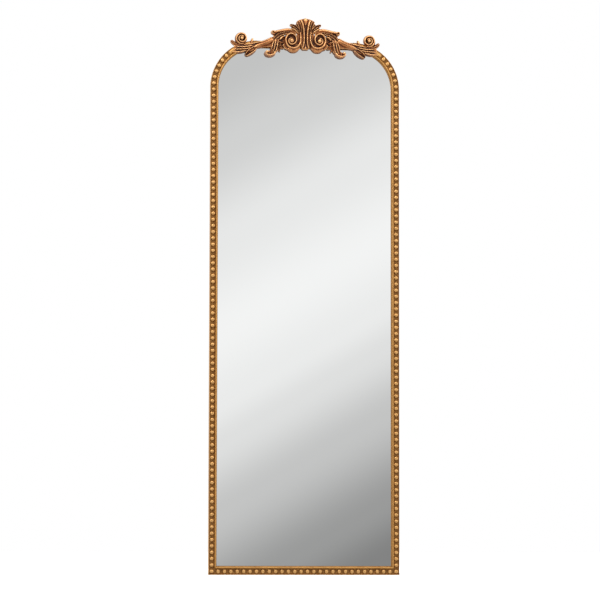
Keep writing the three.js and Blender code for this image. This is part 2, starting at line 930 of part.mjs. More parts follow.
// Straight plates bridge the joints of the corners with the stiles and the top rail.
for (const [hand, side] of sides) {
  const upright = extrude(
    plateShape(plateWidth, jointPlateLength),
    backFace - plateThickness,
    backFace,
  );
  const stilePlate = addPiece(`${hand}_stile_joint_plate`, upright, zincSteel);
  stilePlate.position.set(side * (halfWidth - backMiddle - 0.5), cornerY, 0);
  const railPlate = addPiece(`${hand}_rail_joint_plate`, upright.clone(), zincSteel);
  railPlate.rotation.z = Math.PI / 2;
  railPlate.position.set(side * cornerX, frameHeight - backMiddle - 0.5, 0);
}

// Rubber bumpers keep the frame off the wall.
function bumper() {
  const front = backFace;
  const back = backFace - bumperHeight;
  return turned(
    [
      [0, back],
      [bumperRadius * 0.72, back],
      [bumperRadius, back + bumperHeight * 0.45],
      [bumperRadius, front],
      [0, front],
    ],
    12,
  );
}

for (const [hand, side] of sides) {
  const low = addPiece(`${hand}_lower_bumper`, bumper(), rubber);
  low.position.set(side * (halfWidth - backMiddle), bumperRise, 0);
  const reach = (cornerRadius - backMiddle) * Math.SQRT1_2;
  const high = addPiece(`${hand}_upper_bumper`, bumper(), rubber);
  high.position.set(side * (cornerX + reach), cornerY + reach, 0);
}

// Stand the face upright and centre its depth on the origin.
const frontReach = crestSeat + crestRelief;
const backReach = -backFace + bumperHeight;
face.rotation.x = Math.PI / 2;
face.position.y = (frontReach - backReach) / 2;

const group = new THREE.Group();
group.add(face);

export default group;
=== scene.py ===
"""Leaning floor mirror: an arched, beaded gilt frame with a carved crest, its glass, board and back hardware.

Shapes are drawn in millimetres in face coordinates: x to the right, y up from the floor, z forward from the
back of the frame. Place turns them into the frame's metres, with the glass facing -Y.
"""

import json
import logging
import math
from dataclasses import dataclass, field
from enum import Enum
from typing import Callable, Iterable, Protocol, Sequence

import bmesh
import bpy
import numpy as np
from mathutils import Matrix, Vector

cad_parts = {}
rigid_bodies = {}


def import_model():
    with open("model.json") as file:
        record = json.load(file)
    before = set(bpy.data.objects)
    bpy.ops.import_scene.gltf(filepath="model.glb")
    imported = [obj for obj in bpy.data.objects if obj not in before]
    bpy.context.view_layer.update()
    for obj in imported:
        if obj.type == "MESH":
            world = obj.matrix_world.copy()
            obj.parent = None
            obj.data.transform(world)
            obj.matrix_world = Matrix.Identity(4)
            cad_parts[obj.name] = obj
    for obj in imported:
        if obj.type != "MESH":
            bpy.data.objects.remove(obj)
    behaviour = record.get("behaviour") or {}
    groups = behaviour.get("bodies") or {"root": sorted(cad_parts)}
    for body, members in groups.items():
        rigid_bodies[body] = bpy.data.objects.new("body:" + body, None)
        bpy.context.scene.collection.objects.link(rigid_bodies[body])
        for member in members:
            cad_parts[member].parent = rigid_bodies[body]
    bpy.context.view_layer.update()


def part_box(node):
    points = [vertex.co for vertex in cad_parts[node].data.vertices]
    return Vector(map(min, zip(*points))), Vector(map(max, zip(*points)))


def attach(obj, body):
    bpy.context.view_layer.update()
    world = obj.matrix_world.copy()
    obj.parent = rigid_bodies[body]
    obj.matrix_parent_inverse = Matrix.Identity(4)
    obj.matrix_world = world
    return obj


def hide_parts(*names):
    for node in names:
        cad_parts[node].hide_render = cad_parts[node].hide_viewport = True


MM = 0.001
WELD = 0.001 * MM
FRAME_BODY = "frame"
SIDES = (("left", -1), ("right", 1))
LOG = logging.getLogger("floor_mirror")

Pair = tuple[float, float]
Point = tuple[float, float, float]
Colour = tuple[float, float, float]


def rgb(red: int, green: int, blue: int) -> Colour:
    """A colour written in display values of 0 to 255, as the linear values that a shader takes."""
    def linear(value: int) -> float:
        """One display value as a linear one."""
        share = value / 255
        return share / 12.92 if share <= 0.04045 else ((share + 0.055) / 1.055) ** 2.4

    return linear(red), linear(green), linear(blue)


# ---------------------------------------------------------------- places and meshes


@dataclass(frozen=True)
class Place:
    """Where the face coordinates lie in the frame.

    Args:
        back: World Y of the back of the frame, in millimetres.
    """

    back: float

    @classmethod
    def from_frame(cls) -> "Place":
        """Reads the back of the frame from the backing board, which lies flush with it."""
        return cls(back=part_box("backing_board")[1].y / MM)

    def world(self, points: np.ndarray) -> np.ndarray:
        """Turns face points into world metres.

        Args:
            points: An array of face points, n by 3, in millimetres.

        Returns:
            The same points in metres.
        """
        x, y, z = np.asarray(points, float).T
        return np.stack([x, self.back - z, y], axis=1) * MM


@dataclass
class Shell:
    """Points and faces, in face coordinates.

    Args:
        points: The points, n by 3, in millimetres.
        faces: The numbers of each face's points.
        hollow: How deep in a hollow each point lies, from 0 to 1, where the finish asks for it; the gilding
            paints it darker, as glazing and as painted shade.
        crown: How far out on a crown each point lies, from 0 to 1; the gilding paints it brighter, as rubbing
            and as painted highlight.
    """

    points: np.ndarray
    faces: list[tuple[int, ...]]
    hollow: np.ndarray | None = None
    crown: np.ndarray | None = None

    def mirrored(self, side: int) -> "Shell":
        """Mirrors the shell in x for the left side.

        Args:
            side: 1 for the right side, which keeps it as it is, or -1 for the left.

        Returns:
            The shell for that side.
        """
        if side > 0:
            return self
        points = self.points * np.array([-1.0, 1.0, 1.0])
        return Shell(points, [tuple(reversed(face)) for face in self.faces], self.hollow, self.crown)

    def moved(self, x: float = 0.0, y: float = 0.0, z: float = 0.0) -> "Shell":
        """The shell moved by a distance along each axis."""
        return Shell(self.points + np.array([x, y, z]), self.faces, self.hollow, self.crown)


def merged(shells: Sequence[Shell]) -> Shell:
    """Joins shells into one list of points and faces.

    Args:
        shells: The shells to join. Either all or none of them carry hollow and crown values.

    Returns:
        One shell that holds them all.
    """
    faces: list[tuple[int, ...]] = []
    start = 0
    for shell in shells:
        faces += [tuple(start + i for i in face) for face in shell.faces]
        start += len(shell.points)
    values = shells[0].hollow is not None
    return Shell(
        np.concatenate([shell.points for shell in shells]),
        faces,
        np.concatenate([shell.hollow for shell in shells]) if values else None,
        np.concatenate([shell.crown for shell in shells]) if values else None,
    )


def loft(rings: np.ndarray, closed: bool = False, values: np.ndarray | None = None) -> Shell:
    """Skins a row of rings.

    Args:
        rings: Points of shape (rings, points in a ring, 3).
        closed: Whether the last ring joins the first. Otherwise both ends are capped.
        values: Hollow and crown of each point, of shape (rings, points in a ring, 2).

    Returns:
        The closed shell.
    """
    count, around = rings.shape[:2]
    faces: list[tuple[int, ...]] = []
    for r in range(count if closed else count - 1):
        low, high = r * around, (r + 1) % count * around
        for i in range(around):
            j = (i + 1) % around
            faces.append((low + i, low + j, high + j, high + i))
    if not closed:
        faces.append(tuple(reversed(range(around))))
        faces.append(tuple((count - 1) * around + i for i in range(around)))
    shell = Shell(rings.reshape(-1, 3), faces)
    if values is not None:
        shell.hollow = values[..., 0].ravel()
        shell.crown = values[..., 1].ravel()
    return shell


def turned(profile: Sequence[Pair], sides: int) -> Shell:
    """Turns a profile about the z axis.

    Args:
        profile: Pairs of radius and z, from one end to the other, off the axis.
        sides: How many points each ring has.

    Returns:
        The closed shell, with a flat cap at each end.
    """
    angles = np.linspace(0, 2 * math.pi, sides, endpoint=False)
    rings = np.array(
        [[(r * math.cos(a), r * math.sin(a), z) for a in angles] for r, z in profile]
    )
    return loft(rings)


def linked(name: str, data: bpy.types.ID) -> bpy.types.Object:
    """Makes an object of a mesh, curve, lamp or camera and links it to the scene."""
    made = bpy.data.objects.new(name, data)
    bpy.context.scene.collection.objects.link(made)
    return made


def write_wear_and_shade(mesh: bpy.types.Mesh, hollow: np.ndarray | None, crown: np.ndarray | None) -> None:
    """Stores the values that the gilding reads for its glazing and painted shade, and for its rubbing and
    painted highlight.

    Args:
        mesh: The mesh that they belong to.
        hollow: Hollow value of each point, clipped to 0 to 1, or None.
        crown: Crown value of each point, clipped to 0 to 1, or None.
    """
    for label, values in (("hollow", hollow), ("crown", crown)):
        if values is not None:
            attribute = mesh.attributes.new(label, "FLOAT", "POINT")
            attribute.data.foreach_set("value", np.clip(values, 0, 1).astype(np.float32))


def new_object(
    name: str, shell: Shell, place: Place, smooth_angle: float | None = 35.0
) -> bpy.types.Object:
    """Makes an object of a shell, with its faces turned outward.

    Args:
        name: Name of the piece.
        shell: What it is made of.
        place: Where face coordinates lie.
        smooth_angle: Edges sharper than this, in degrees, stay sharp. None smooths them all.

    Returns:
        The new object, linked to the scene.
    """
    mesh = bpy.data.meshes.new(name)
    mesh.from_pydata(place.world(shell.points).tolist(), [], shell.faces)
    mesh.update()
    write_wear_and_shade(mesh, shell.hollow, shell.crown)
    tool = bmesh.new()
    tool.from_mesh(mesh)
    bmesh.ops.remove_doubles(tool, verts=tool.verts, dist=WELD)
    bmesh.ops.recalc_face_normals(tool, faces=tool.faces)
    tool.to_mesh(mesh)
    tool.free()
    mesh.polygons.foreach_set("use_smooth", [True] * len(mesh.polygons))
    if smooth_angle is not None:
        mesh.set_sharp_from_angle(angle=math.radians(smooth_angle))
    return linked(name, mesh)


def even(dense: np.ndarray, step: float) -> np.ndarray:
    """Resamples a polyline at even distances.

    Args:
        dense: Its points, n by 2.
        step: Rough distance between samples, in millimetres.

    Returns:
        The samples, with both ends kept.
    """
    run = np.concatenate([[0], np.cumsum(np.hypot(*np.diff(dense, axis=0).T))])
    count = max(4, round(run[-1] / step))
    places = np.linspace(0, run[-1], count + 1)
    return np.stack([np.interp(places, run, dense[:, axis]) for axis in range(2)], axis=1)


def spline(points: Sequence[Pair], step: float = 1.0) -> np.ndarray:
    """Samples a smooth curve through points.

    Args:
        points: Points that the curve passes.
        step: Distance between samples, in millimetres.

    Returns:
        The samples, at even distances along the curve.
    """
    p = np.asarray(points, float)
    if len(p) == 2:
        return even(np.linspace(p[0], p[1], 64), step)
    ends = np.vstack([2 * p[0] - p[1], p, 2 * p[-1] - p[-2]])
    spans = []
    for i in range(len(p) - 1):
        a, b, c, d = ends[i : i + 4]
        t = np.linspace(0, 1, 40, endpoint=i == len(p) - 2)[:, None]
        spans.append(
            0.5 * (2 * b + (c - a) * t + (2 * a - 5 * b + 4 * c - d) * t**2 + (3 * b - a - 3 * c + d) * t**3)
        )
    return even(np.vstack(spans), step)


def along(values: Sequence[float], share: np.ndarray) -> np.ndarray:
    """Reads values, given at even steps, at a share of the way along them."""
    return np.interp(share, np.linspace(0, 1, len(values)), values)


def arc(centre: Pair, radius: float, start: float, end: float, count: int = 12) -> list[Pair]:
    """Points on an arc, with its angles in degrees."""
    turns = np.radians(np.linspace(start, end, count))
    return [(centre[0] + radius * math.cos(t), centre[1] + radius * math.sin(t)) for t in turns]


# ---------------------------------------------------------------- node helpers


class Graph:
    """A thin writer of shader nodes."""

    def __init__(self, tree: bpy.types.NodeTree) -> None:
        """Keeps the tree that nodes are added to."""
        self.tree = tree

    def node(self, kind: str, **settings: object) -> bpy.types.Node:
        """Adds a node.

        Args:
            kind: The node's type, without the word ShaderNode.
            settings: Properties to set on it.

        Returns:
            The new node.
        """
        made = self.tree.nodes.new("ShaderNode" + kind)
        for key, value in settings.items():
            setattr(made, key, value)
        return made

    def feed(self, socket: bpy.types.NodeSocket, value: object) -> None:
        """Links a socket to another, or sets its value.

        Args:
            socket: The input that is fed.
            value: An output to link, a colour of three values, or a plain value.
        """
        if isinstance(value, bpy.types.NodeSocket):
            self.tree.links.new(value, socket)
        elif isinstance(value, tuple) and len(value) == 3 and socket.type == "RGBA":
            socket.default_value = (*value, 1.0)
        else:
            socket.default_value = value

    def math(self, operation: str, *inputs: object, clamp: bool = False) -> bpy.types.NodeSocket:
        """Adds a Math node.

        Args:
            operation: What it does.
            inputs: Outputs or numbers, in order.
            clamp: Whether the result is held between 0 and 1.

        Returns:
            Its value.
        """
        made = self.node("Math", operation=operation, use_clamp=clamp)
        for socket, value in zip(made.inputs, inputs):
            self.feed(socket, value)
        return made.outputs[0]

    def noise(
        self, vector: object, scale: float, detail: float = 4.0, roughness: float = 0.55
    ) -> bpy.types.NodeSocket:
        """Adds a noise texture.

        Args:
            vector: Where it is read.
            scale: How fine it is.
            detail: How many finer layers it has.
            roughness: How strong the finer layers are.

        Returns:
            Its factor.
        """
        made = self.node("TexNoise")
        self.feed(made.inputs["Vector"], vector)
        for label, value in (("Scale", scale), ("Detail", detail), ("Roughness", roughness)):
            made.inputs[label].default_value = value
        return made.outputs["Fac"]

    def span(
        self, value: object, low: float, high: float, out_low: float = 0.0, out_high: float = 1.0
    ) -> bpy.types.NodeSocket:
        """Maps a range of values to another, clamped and smooth.

        Args:
            value: The value that is mapped.
            low: The value that gives out_low.
            high: The value that gives out_high.
            out_low: Result at low.
            out_high: Result at high.

        Returns:
            The mapped value.
        """
        made = self.node("MapRange", interpolation_type="SMOOTHSTEP")
        for socket, item in zip(made.inputs, (value, low, high, out_low, out_high)):
            self.feed(socket, item)
        return made.outputs[0]

    def mix(self, factor: object, first: object, second: object) -> bpy.types.NodeSocket:
        """Mixes two colours.

        Args:
            factor: Share of the second colour.
            first: The first colour.
            second: The second colour.

        Returns:
            The mixed colour.
        """
        made = self.node("Mix", data_type="RGBA")
        for number, value in ((0, factor), (6, first), (7, second)):
            self.feed(made.inputs[number], value)
        return made.outputs[2]

    def ramp(self, value: object, stops: Sequence[tuple[float, Colour]]) -> bpy.types.NodeSocket:
        """Adds a colour ramp with smooth stops.

        Args:
            value: Where the ramp is read.
            stops: Place and colour of each stop, in order.

        Returns:
            Its colour.
        """
        made = self.node("ValToRGB")
        made.color_ramp.interpolation = "EASE"
        elements = made.color_ramp.elements
        while len(elements) < len(stops):
            elements.new(0.5)
        for element, (place, colour) in zip(elements, stops):
            element.position = place
            element.color = (*colour, 1.0)
        self.feed(made.inputs[0], value)
        return made.outputs[0]

    def object_space(self) -> bpy.types.NodeSocket:
        """Object coordinates, which are the frame's metres."""
        return self.node("TexCoord").outputs["Object"]

    def stretched(self, vector: object, scale: Point) -> bpy.types.NodeSocket:
        """Coordinates scaled along each axis."""
        made = self.node("Mapping")
        self.feed(made.inputs["Vector"], vector)
        made.inputs["Scale"].default_value = scale
        return made.outputs[0]

    def bump(self, height: object, distance: float) -> bpy.types.NodeSocket:
        """Adds a Bump node.

        Args:
            height: Height, from 0 to 1.
            distance: What a height of 1 stands for, in millimetres.

        Returns:
            The bumped normal.
        """
        made = self.node("Bump")
        made.inputs["Distance"].default_value = distance * MM
        made.inputs["Strength"].default_value = 1.0
        self.feed(made.inputs["Height"], height)
        return made.outputs["Normal"]

    def place_group(self, tree: bpy.types.NodeTree, **values: object) -> bpy.types.Node:
        """Places a node group.

        Args:
            tree: The group's tree.
            values: What feeds its inputs, by name with _ for a space.

        Returns:
            The placed node.
        """
        made = self.node("Group", node_tree=tree)
        for key, value in values.items():
            self.feed(made.inputs[key.replace("_", " ")], value)
        return made


def group(
    name: str,
    inputs: Sequence[tuple[str, str]],
    outputs: Sequence[tuple[str, str]],
    fill: Callable[[Graph, bpy.types.Node, bpy.types.Node], None],
) -> bpy.types.NodeTree:
    """Builds a shader node group once.

    Args:
        name: Name of the group.
        inputs: Name and socket type of each input.
        outputs: Name and socket type of each output.
        fill: Writes the nodes between the group's input and output nodes.

    Returns:
        The group's tree, which is made on the first call and found on later ones.
    """
    found = bpy.data.node_groups.get(name)
    if found:
        return found
    tree = bpy.data.node_groups.new(name, "ShaderNodeTree")
    for way, sockets in (("INPUT", inputs), ("OUTPUT", outputs)):
        for label, kind in sockets:
            tree.interface.new_socket(label, in_out=way, socket_type=kind)
    fill(Graph(tree), tree.nodes.new("NodeGroupInput"), tree.nodes.new("NodeGroupOutput"))
    return tree


def new_material(name: str) -> tuple[bpy.types.Material, Graph, bpy.types.Node]:
    """Makes a material with a bare Principled shader.

    Args:
        name: Name of the material.

    Returns:
        The material, a writer for its nodes, and the shader.
    """
    material = bpy.data.materials.new(name)
    material.use_nodes = True
    graph = Graph(material.node_tree)
    return material, graph, material.node_tree.nodes["Principled BSDF"]


# ---------------------------------------------------------------- finishes


class Finish(Protocol):
    """A finish that can build its own material."""

    def material(self) -> bpy.types.Material:
        """Builds the material."""


@dataclass(frozen=True)
class AgedGilding:
    """The effect of aged gilding with painted light: leaf bright on its crowns from rubbing and as painted
    highlight, glazed dark in its hollows with dark wax and as painted shade, and left off the back.

    Args:
        cloud: Fineness of the wide changes from sound leaf to redder leaf.
        mottle: Fineness of the mottling of the crowns' rubbing and painted highlight, the hollows' glazing
            and painted shade, the roughness and the bump.
        grain: Fineness of the grain that only the bump shows.
        fleck: Fineness of the dark flecks.
        fleck_strength: How dark the flecks are.
        raw_stain: How strongly the bare back is stained.
        grain_share: Share of the grain in the bump.
    """

    cloud: float = 38.0
    mottle: float = 520.0
    grain: float = 1900.0
    fleck: float = 260.0
    fleck_strength: float = 0.55
    raw_stain: float = 0.45
    grain_share: float = 0.25

    def fill(self, g: Graph, given: bpy.types.Node, out: bpy.types.Node) -> None:
        """Writes the nodes of the group.

        Args:
            g: Writer of the group.
            given: The group's input node.
            out: The group's output node.
        """
        i = given.outputs
        coarse = g.noise(i["Vector"], self.cloud, 5.0, 0.6)
        fine = g.noise(i["Vector"], self.mottle, 4.0, 0.7)
        grain = g.noise(i["Vector"], self.grain, 2.0, 0.6)
        flecks = g.span(g.noise(i["Vector"], self.fleck, 3.0, 0.7), 0.66, 0.72)
        # Hollows take the dark colour, as glazing and as painted shade; crowns take the bright colour, as
        # rubbing and as painted highlight.
        hollow = g.span(g.math("MULTIPLY_ADD", g.math("SUBTRACT", fine, 0.5), 0.35, i["Hollow"]), 0.04, 0.72)
        crown = g.span(g.math("MULTIPLY_ADD", g.math("SUBTRACT", fine, 0.5), 0.6, i["Crown"]), 0.12, 0.85)
        toned = g.mix(g.span(coarse, 0.35, 0.68), i["Leaf"], i["Deep leaf"])
        # Painted highlight on the crowns, then painted shade in the hollows, mixed into the leaf's own tone.
        toned = g.mix(crown, toned, i["Rubbed"])
        toned = g.mix(hollow, toned, i["Glaze"])
        toned = g.mix(g.math("MULTIPLY", flecks, self.fleck_strength), toned, i["Glaze"])
        facing = g.node("SeparateXYZ")
        g.feed(facing.inputs[0], g.node("TexCoord").outputs["Normal"])
        back = g.math("MULTIPLY_ADD", g.math("SUBTRACT", fine, 0.5), 0.3, facing.outputs[1])
        bare = g.span(back, 0.55, 0.7)
        stain = g.math("MULTIPLY", g.span(coarse, 0.35, 0.7), self.raw_stain)
        g.feed(out.inputs["Colour"], g.mix(bare, toned, g.mix(stain, i["Bare"], i["Glaze"])))
        rough = g.math("MULTIPLY_ADD", hollow, 0.3, g.span(fine, 0.3, 0.7, 0.3, 0.46))
        rough = g.math("MULTIPLY_ADD", bare, 0.35, g.math("ADD", rough, i["Satin"]))
        g.feed(out.inputs["Roughness"], g.math("MULTIPLY_ADD", crown, -0.06, rough, clamp=True))
        metal = g.span(hollow, 0.15, 0.95, 0.82, 0.2)
        g.feed(out.inputs["Metal"], g.math("MULTIPLY", metal, g.math("SUBTRACT", 1.0, bare)))
        mottle = g.math("MULTIPLY", fine, 1 - self.grain_share)
        g.feed(out.inputs["Height"], g.math("MULTIPLY_ADD", grain, self.grain_share, mottle))

    def tree(self) -> bpy.types.NodeTree:
        """The group, which is built on the first call."""
        colour, value = "NodeSocketColor", "NodeSocketFloat"
        inputs = [("Vector", "NodeSocketVector"), ("Hollow", value), ("Crown", value)]
        inputs += [(label, colour) for label in ("Leaf", "Deep leaf", "Rubbed", "Glaze", "Bare")]
        inputs.append(("Satin", value))
        outputs = [("Colour", colour), ("Roughness", value), ("Metal", value), ("Height", value)]
        return group("AgedGilding", inputs, outputs, self.fill)


@dataclass(frozen=True)
class Gilding:
    """A gilded finish.

    Args:
        name: Name of the material.
        leaf: Colour of the sound leaf.
        deep_leaf: Colour of its redder patches.
        rubbed_and_highlight: Colour of the crowns: leaf bared bright by rubbing, and partly a painted
            highlight.
        glaze_and_shade: Colour of the hollows: dark wax left in them, and partly painted shade.
        bare: Colour of the ungilded back.
        satin: How much duller than burnished leaf it is.
        relief: Depth of the grain, in millimetres.
    """

    name: str
    leaf: Colour
    deep_leaf: Colour
    rubbed_and_highlight: Colour
    glaze_and_shade: Colour
    bare: Colour
    satin: float = 0.0
    relief: float = 0.12

    def material(self) -> bpy.types.Material:
        """Builds the material from the gilding group, which paints shade in the hollows and highlight on the
        crowns besides glazing and rubbing, with the piece's own hollow and crown values.
        """
        material, graph, shader = new_material(self.name)
        wear_and_light_masks = {
            label: graph.node("Attribute", attribute_name=label.lower()).outputs["Fac"]
            for label in ("Hollow", "Crown")
        }
        aged = graph.place_group(
            AgedGilding().tree(), Vector=graph.object_space(), **wear_and_light_masks, Leaf=self.leaf,
            Deep_leaf=self.deep_leaf, Rubbed=self.rubbed_and_highlight, Glaze=self.glaze_and_shade, Bare=self.bare, Satin=self.satin,
        )
        for label, output in (("Base Color", "Colour"), ("Roughness", "Roughness"), ("Metallic", "Metal")):
            graph.feed(shader.inputs[label], aged.outputs[output])
        graph.feed(shader.inputs["Normal"], graph.bump(aged.outputs["Height"], self.relief))
        return material


@dataclass(frozen=True)
class Silvering:
    """The silvered glass: a plain mirror with the faintest haze."""

    name: str = "silvered_glass"
    tint: Colour = (0.955, 0.965, 0.96)

    def material(self) -> bpy.types.Material:
        """Builds the mirror material."""
        material, graph, shader = new_material(self.name)
        graph.feed(shader.inputs["Base Color"], self.tint)
        shader.inputs["Metallic"].default_value = 1.0
        haze = graph.noise(graph.object_space(), 7.0, 3.0)
        graph.feed(shader.inputs["Roughness"], graph.span(haze, 0.45, 0.8, 0.008, 0.03))
        return material


@dataclass(frozen=True)
class Fibreboard:
    """Bare fibreboard: pressed fibres of several browns."""

    name: str = "fibreboard"
    base: Colour = field(default_factory=lambda: rgb(150, 118, 84))
    dark: Colour = field(default_factory=lambda: rgb(112, 84, 56))
    pale: Colour = field(default_factory=lambda: rgb(176, 146, 110))

    def material(self) -> bpy.types.Material:
        """Builds the board's material."""
        material, graph, shader = new_material(self.name)
        space = graph.object_space()
        strands = graph.noise(graph.stretched(space, (1.0, 1.0, 0.35)), 900.0, 5.0, 0.75)
        cloud = graph.noise(space, 9.0, 4.0)
        colour = graph.mix(graph.span(strands, 0.5, 0.72), self.base, self.dark)
        colour = graph.mix(graph.span(strands, 0.42, 0.28), colour, self.pale)
        colour = graph.mix(graph.span(cloud, 0.35, 0.7, 0.0, 0.35), colour, self.dark)
        graph.feed(shader.inputs["Base Color"], colour)
        graph.feed(shader.inputs["Roughness"], graph.span(strands, 0.3, 0.7, 0.72, 0.92))
        graph.feed(shader.inputs["Normal"], graph.bump(strands, 0.15))
        return material


@dataclass(frozen=True)
class Foam:
    """Closed-cell foam tape."""

    name: str = "foam_tape"
    base: Colour = field(default_factory=lambda: rgb(226, 224, 218))
    shade: Colour = field(default_factory=lambda: rgb(196, 193, 186))
    cell: float = 1400.0

    def material(self) -> bpy.types.Material:
        """Builds the foam's material, with its cells."""
        material, graph, shader = new_material(self.name)
        cells = graph.node("TexVoronoi")
        graph.feed(cells.inputs["Vector"], graph.object_space())
        cells.inputs["Scale"].default_value = self.cell
        depth = cells.outputs["Distance"]
        graph.feed(shader.inputs["Base Color"], graph.mix(graph.span(depth, 0.2, 0.7), self.base, self.shade))
        graph.feed(shader.inputs["Roughness"], graph.span(depth, 0.0, 0.7, 0.8, 0.95))
        graph.feed(shader.inputs["Normal"], graph.bump(depth, 0.2))
        return material


@dataclass(frozen=True)
class Zinc:
    """Zinc-plated pressed steel, with a fine drawn grain and a few dull spots."""

    name: str = "zinc_steel"
    base: Colour = field(default_factory=lambda: rgb(192, 195, 199))
    dull: Colour = field(default_factory=lambda: rgb(138, 140, 143))

    def material(self) -> bpy.types.Material:
        """Builds the metal's material."""
        material, graph, shader = new_material(self.name)
        space = graph.object_space()
        drawn = graph.noise(graph.stretched(space, (1.0, 1.0, 0.08)), 2600.0, 3.0, 0.6)
        spots = graph.noise(space, 240.0, 5.0, 0.7)
        colour = graph.mix(graph.span(spots, 0.5, 0.72, 0.0, 0.8), self.base, self.dull)
        graph.feed(shader.inputs["Base Color"], colour)
        shader.inputs["Metallic"].default_value = 1.0
        polish = graph.span(drawn, 0.3, 0.7, 0.24, 0.38)
        rough = graph.math("MULTIPLY_ADD", graph.span(spots, 0.45, 0.75), 0.2, polish)
        graph.feed(shader.inputs["Roughness"], rough)
        graph.feed(shader.inputs["Normal"], graph.bump(drawn, 0.03))
        return material


@dataclass(frozen=True)
class Rubber:
    """Moulded black rubber with a little dust."""

    name: str = "bumper_rubber"
    base: Colour = field(default_factory=lambda: rgb(38, 38, 40))
    dust: Colour = field(default_factory=lambda: rgb(84, 82, 80))

    def material(self) -> bpy.types.Material:
        """Builds the rubber's material."""
        material, graph, shader = new_material(self.name)
        space = graph.object_space()
        dust = graph.span(graph.noise(space, 300.0, 5.0, 0.7), 0.52, 0.78, 0.0, 0.5)
        graph.feed(shader.inputs["Base Color"], graph.mix(dust, self.base, self.dust))
        graph.feed(shader.inputs["Roughness"], graph.math("MULTIPLY_ADD", dust, 0.3, 0.52))
        graph.feed(shader.inputs["Normal"], graph.bump(graph.noise(space, 1600.0, 2.0), 0.05))
        return material


# ---------------------------------------------------------------- dressing


@dataclass
class Wardrobe:
    """One material for each slot of the record.

    Args:
        finishes: The finish of each slot.
        made: The materials so far, each made when its slot is first asked for.
    """

    finishes: dict[str, Finish]
    made: dict[str, bpy.types.Material] = field(default_factory=dict)

    def dress(self, piece: bpy.types.Object, slot: str) -> None:
        """Gives a piece its only material.

        Args:
            piece: The object to dress.
            slot: The record's material slot.
        """
        if slot not in self.made:
            self.made[slot] = self.finishes[slot].material()
        piece.data.materials.clear()
        piece.data.materials.append(self.made[slot])

    def finish_piece(
        self, piece: bpy.types.Object, slot: str, body: str = FRAME_BODY, nodes: Iterable[str] = ()
    ) -> None:
        """Dresses a new piece in its slot's material, sets it on its body and hides the nodes that it stands
        for.

        Args:
            piece: The new object.
            slot: The record's material slot.
            body: The body that it moves with.
            nodes: The nodes that it replaces.
        """
        self.dress(piece, slot)
        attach(piece, body)
        for node in nodes:
            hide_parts(node)
        LOG.info("%s: %d faces", piece.name, len(piece.data.polygons))


WARDROBE = Wardrobe(
    {
        "gilt_moulding": Gilding(
            name="gilt_moulding",
            leaf=rgb(182, 132, 66),
            deep_leaf=rgb(164, 113, 50),
            # Crown colour: leaf bared by rubbing and painted highlight; hollow colour: dark wax and painted
            # shade.
            rubbed_and_highlight=rgb(208, 162, 102),
            glaze_and_shade=rgb(132, 90, 36),
            bare=rgb(176, 142, 104),
            satin=0.14,
        ),
        "antique_gilt_casting": Gilding(
            name="antique_gilt_casting",
            leaf=rgb(188, 123, 72),
            deep_leaf=rgb(138, 80, 44),
            # Crown colour: leaf bared by rubbing and painted highlight; hollow colour: near-black dark wax
            # and painted shade in the carving's recesses.
            rubbed_and_highlight=rgb(228, 177, 120),
            glaze_and_shade=rgb(58, 26, 14),
            bare=rgb(120, 92, 66),
        ),
        "silvered_glass": Silvering(),
        "fibreboard": Fibreboard(),
        "foam_tape": Foam(),
        "zinc_steel": Zinc(),
        "bumper_rubber": Rubber(),
    }
)


# ---------------------------------------------------------------- moulding


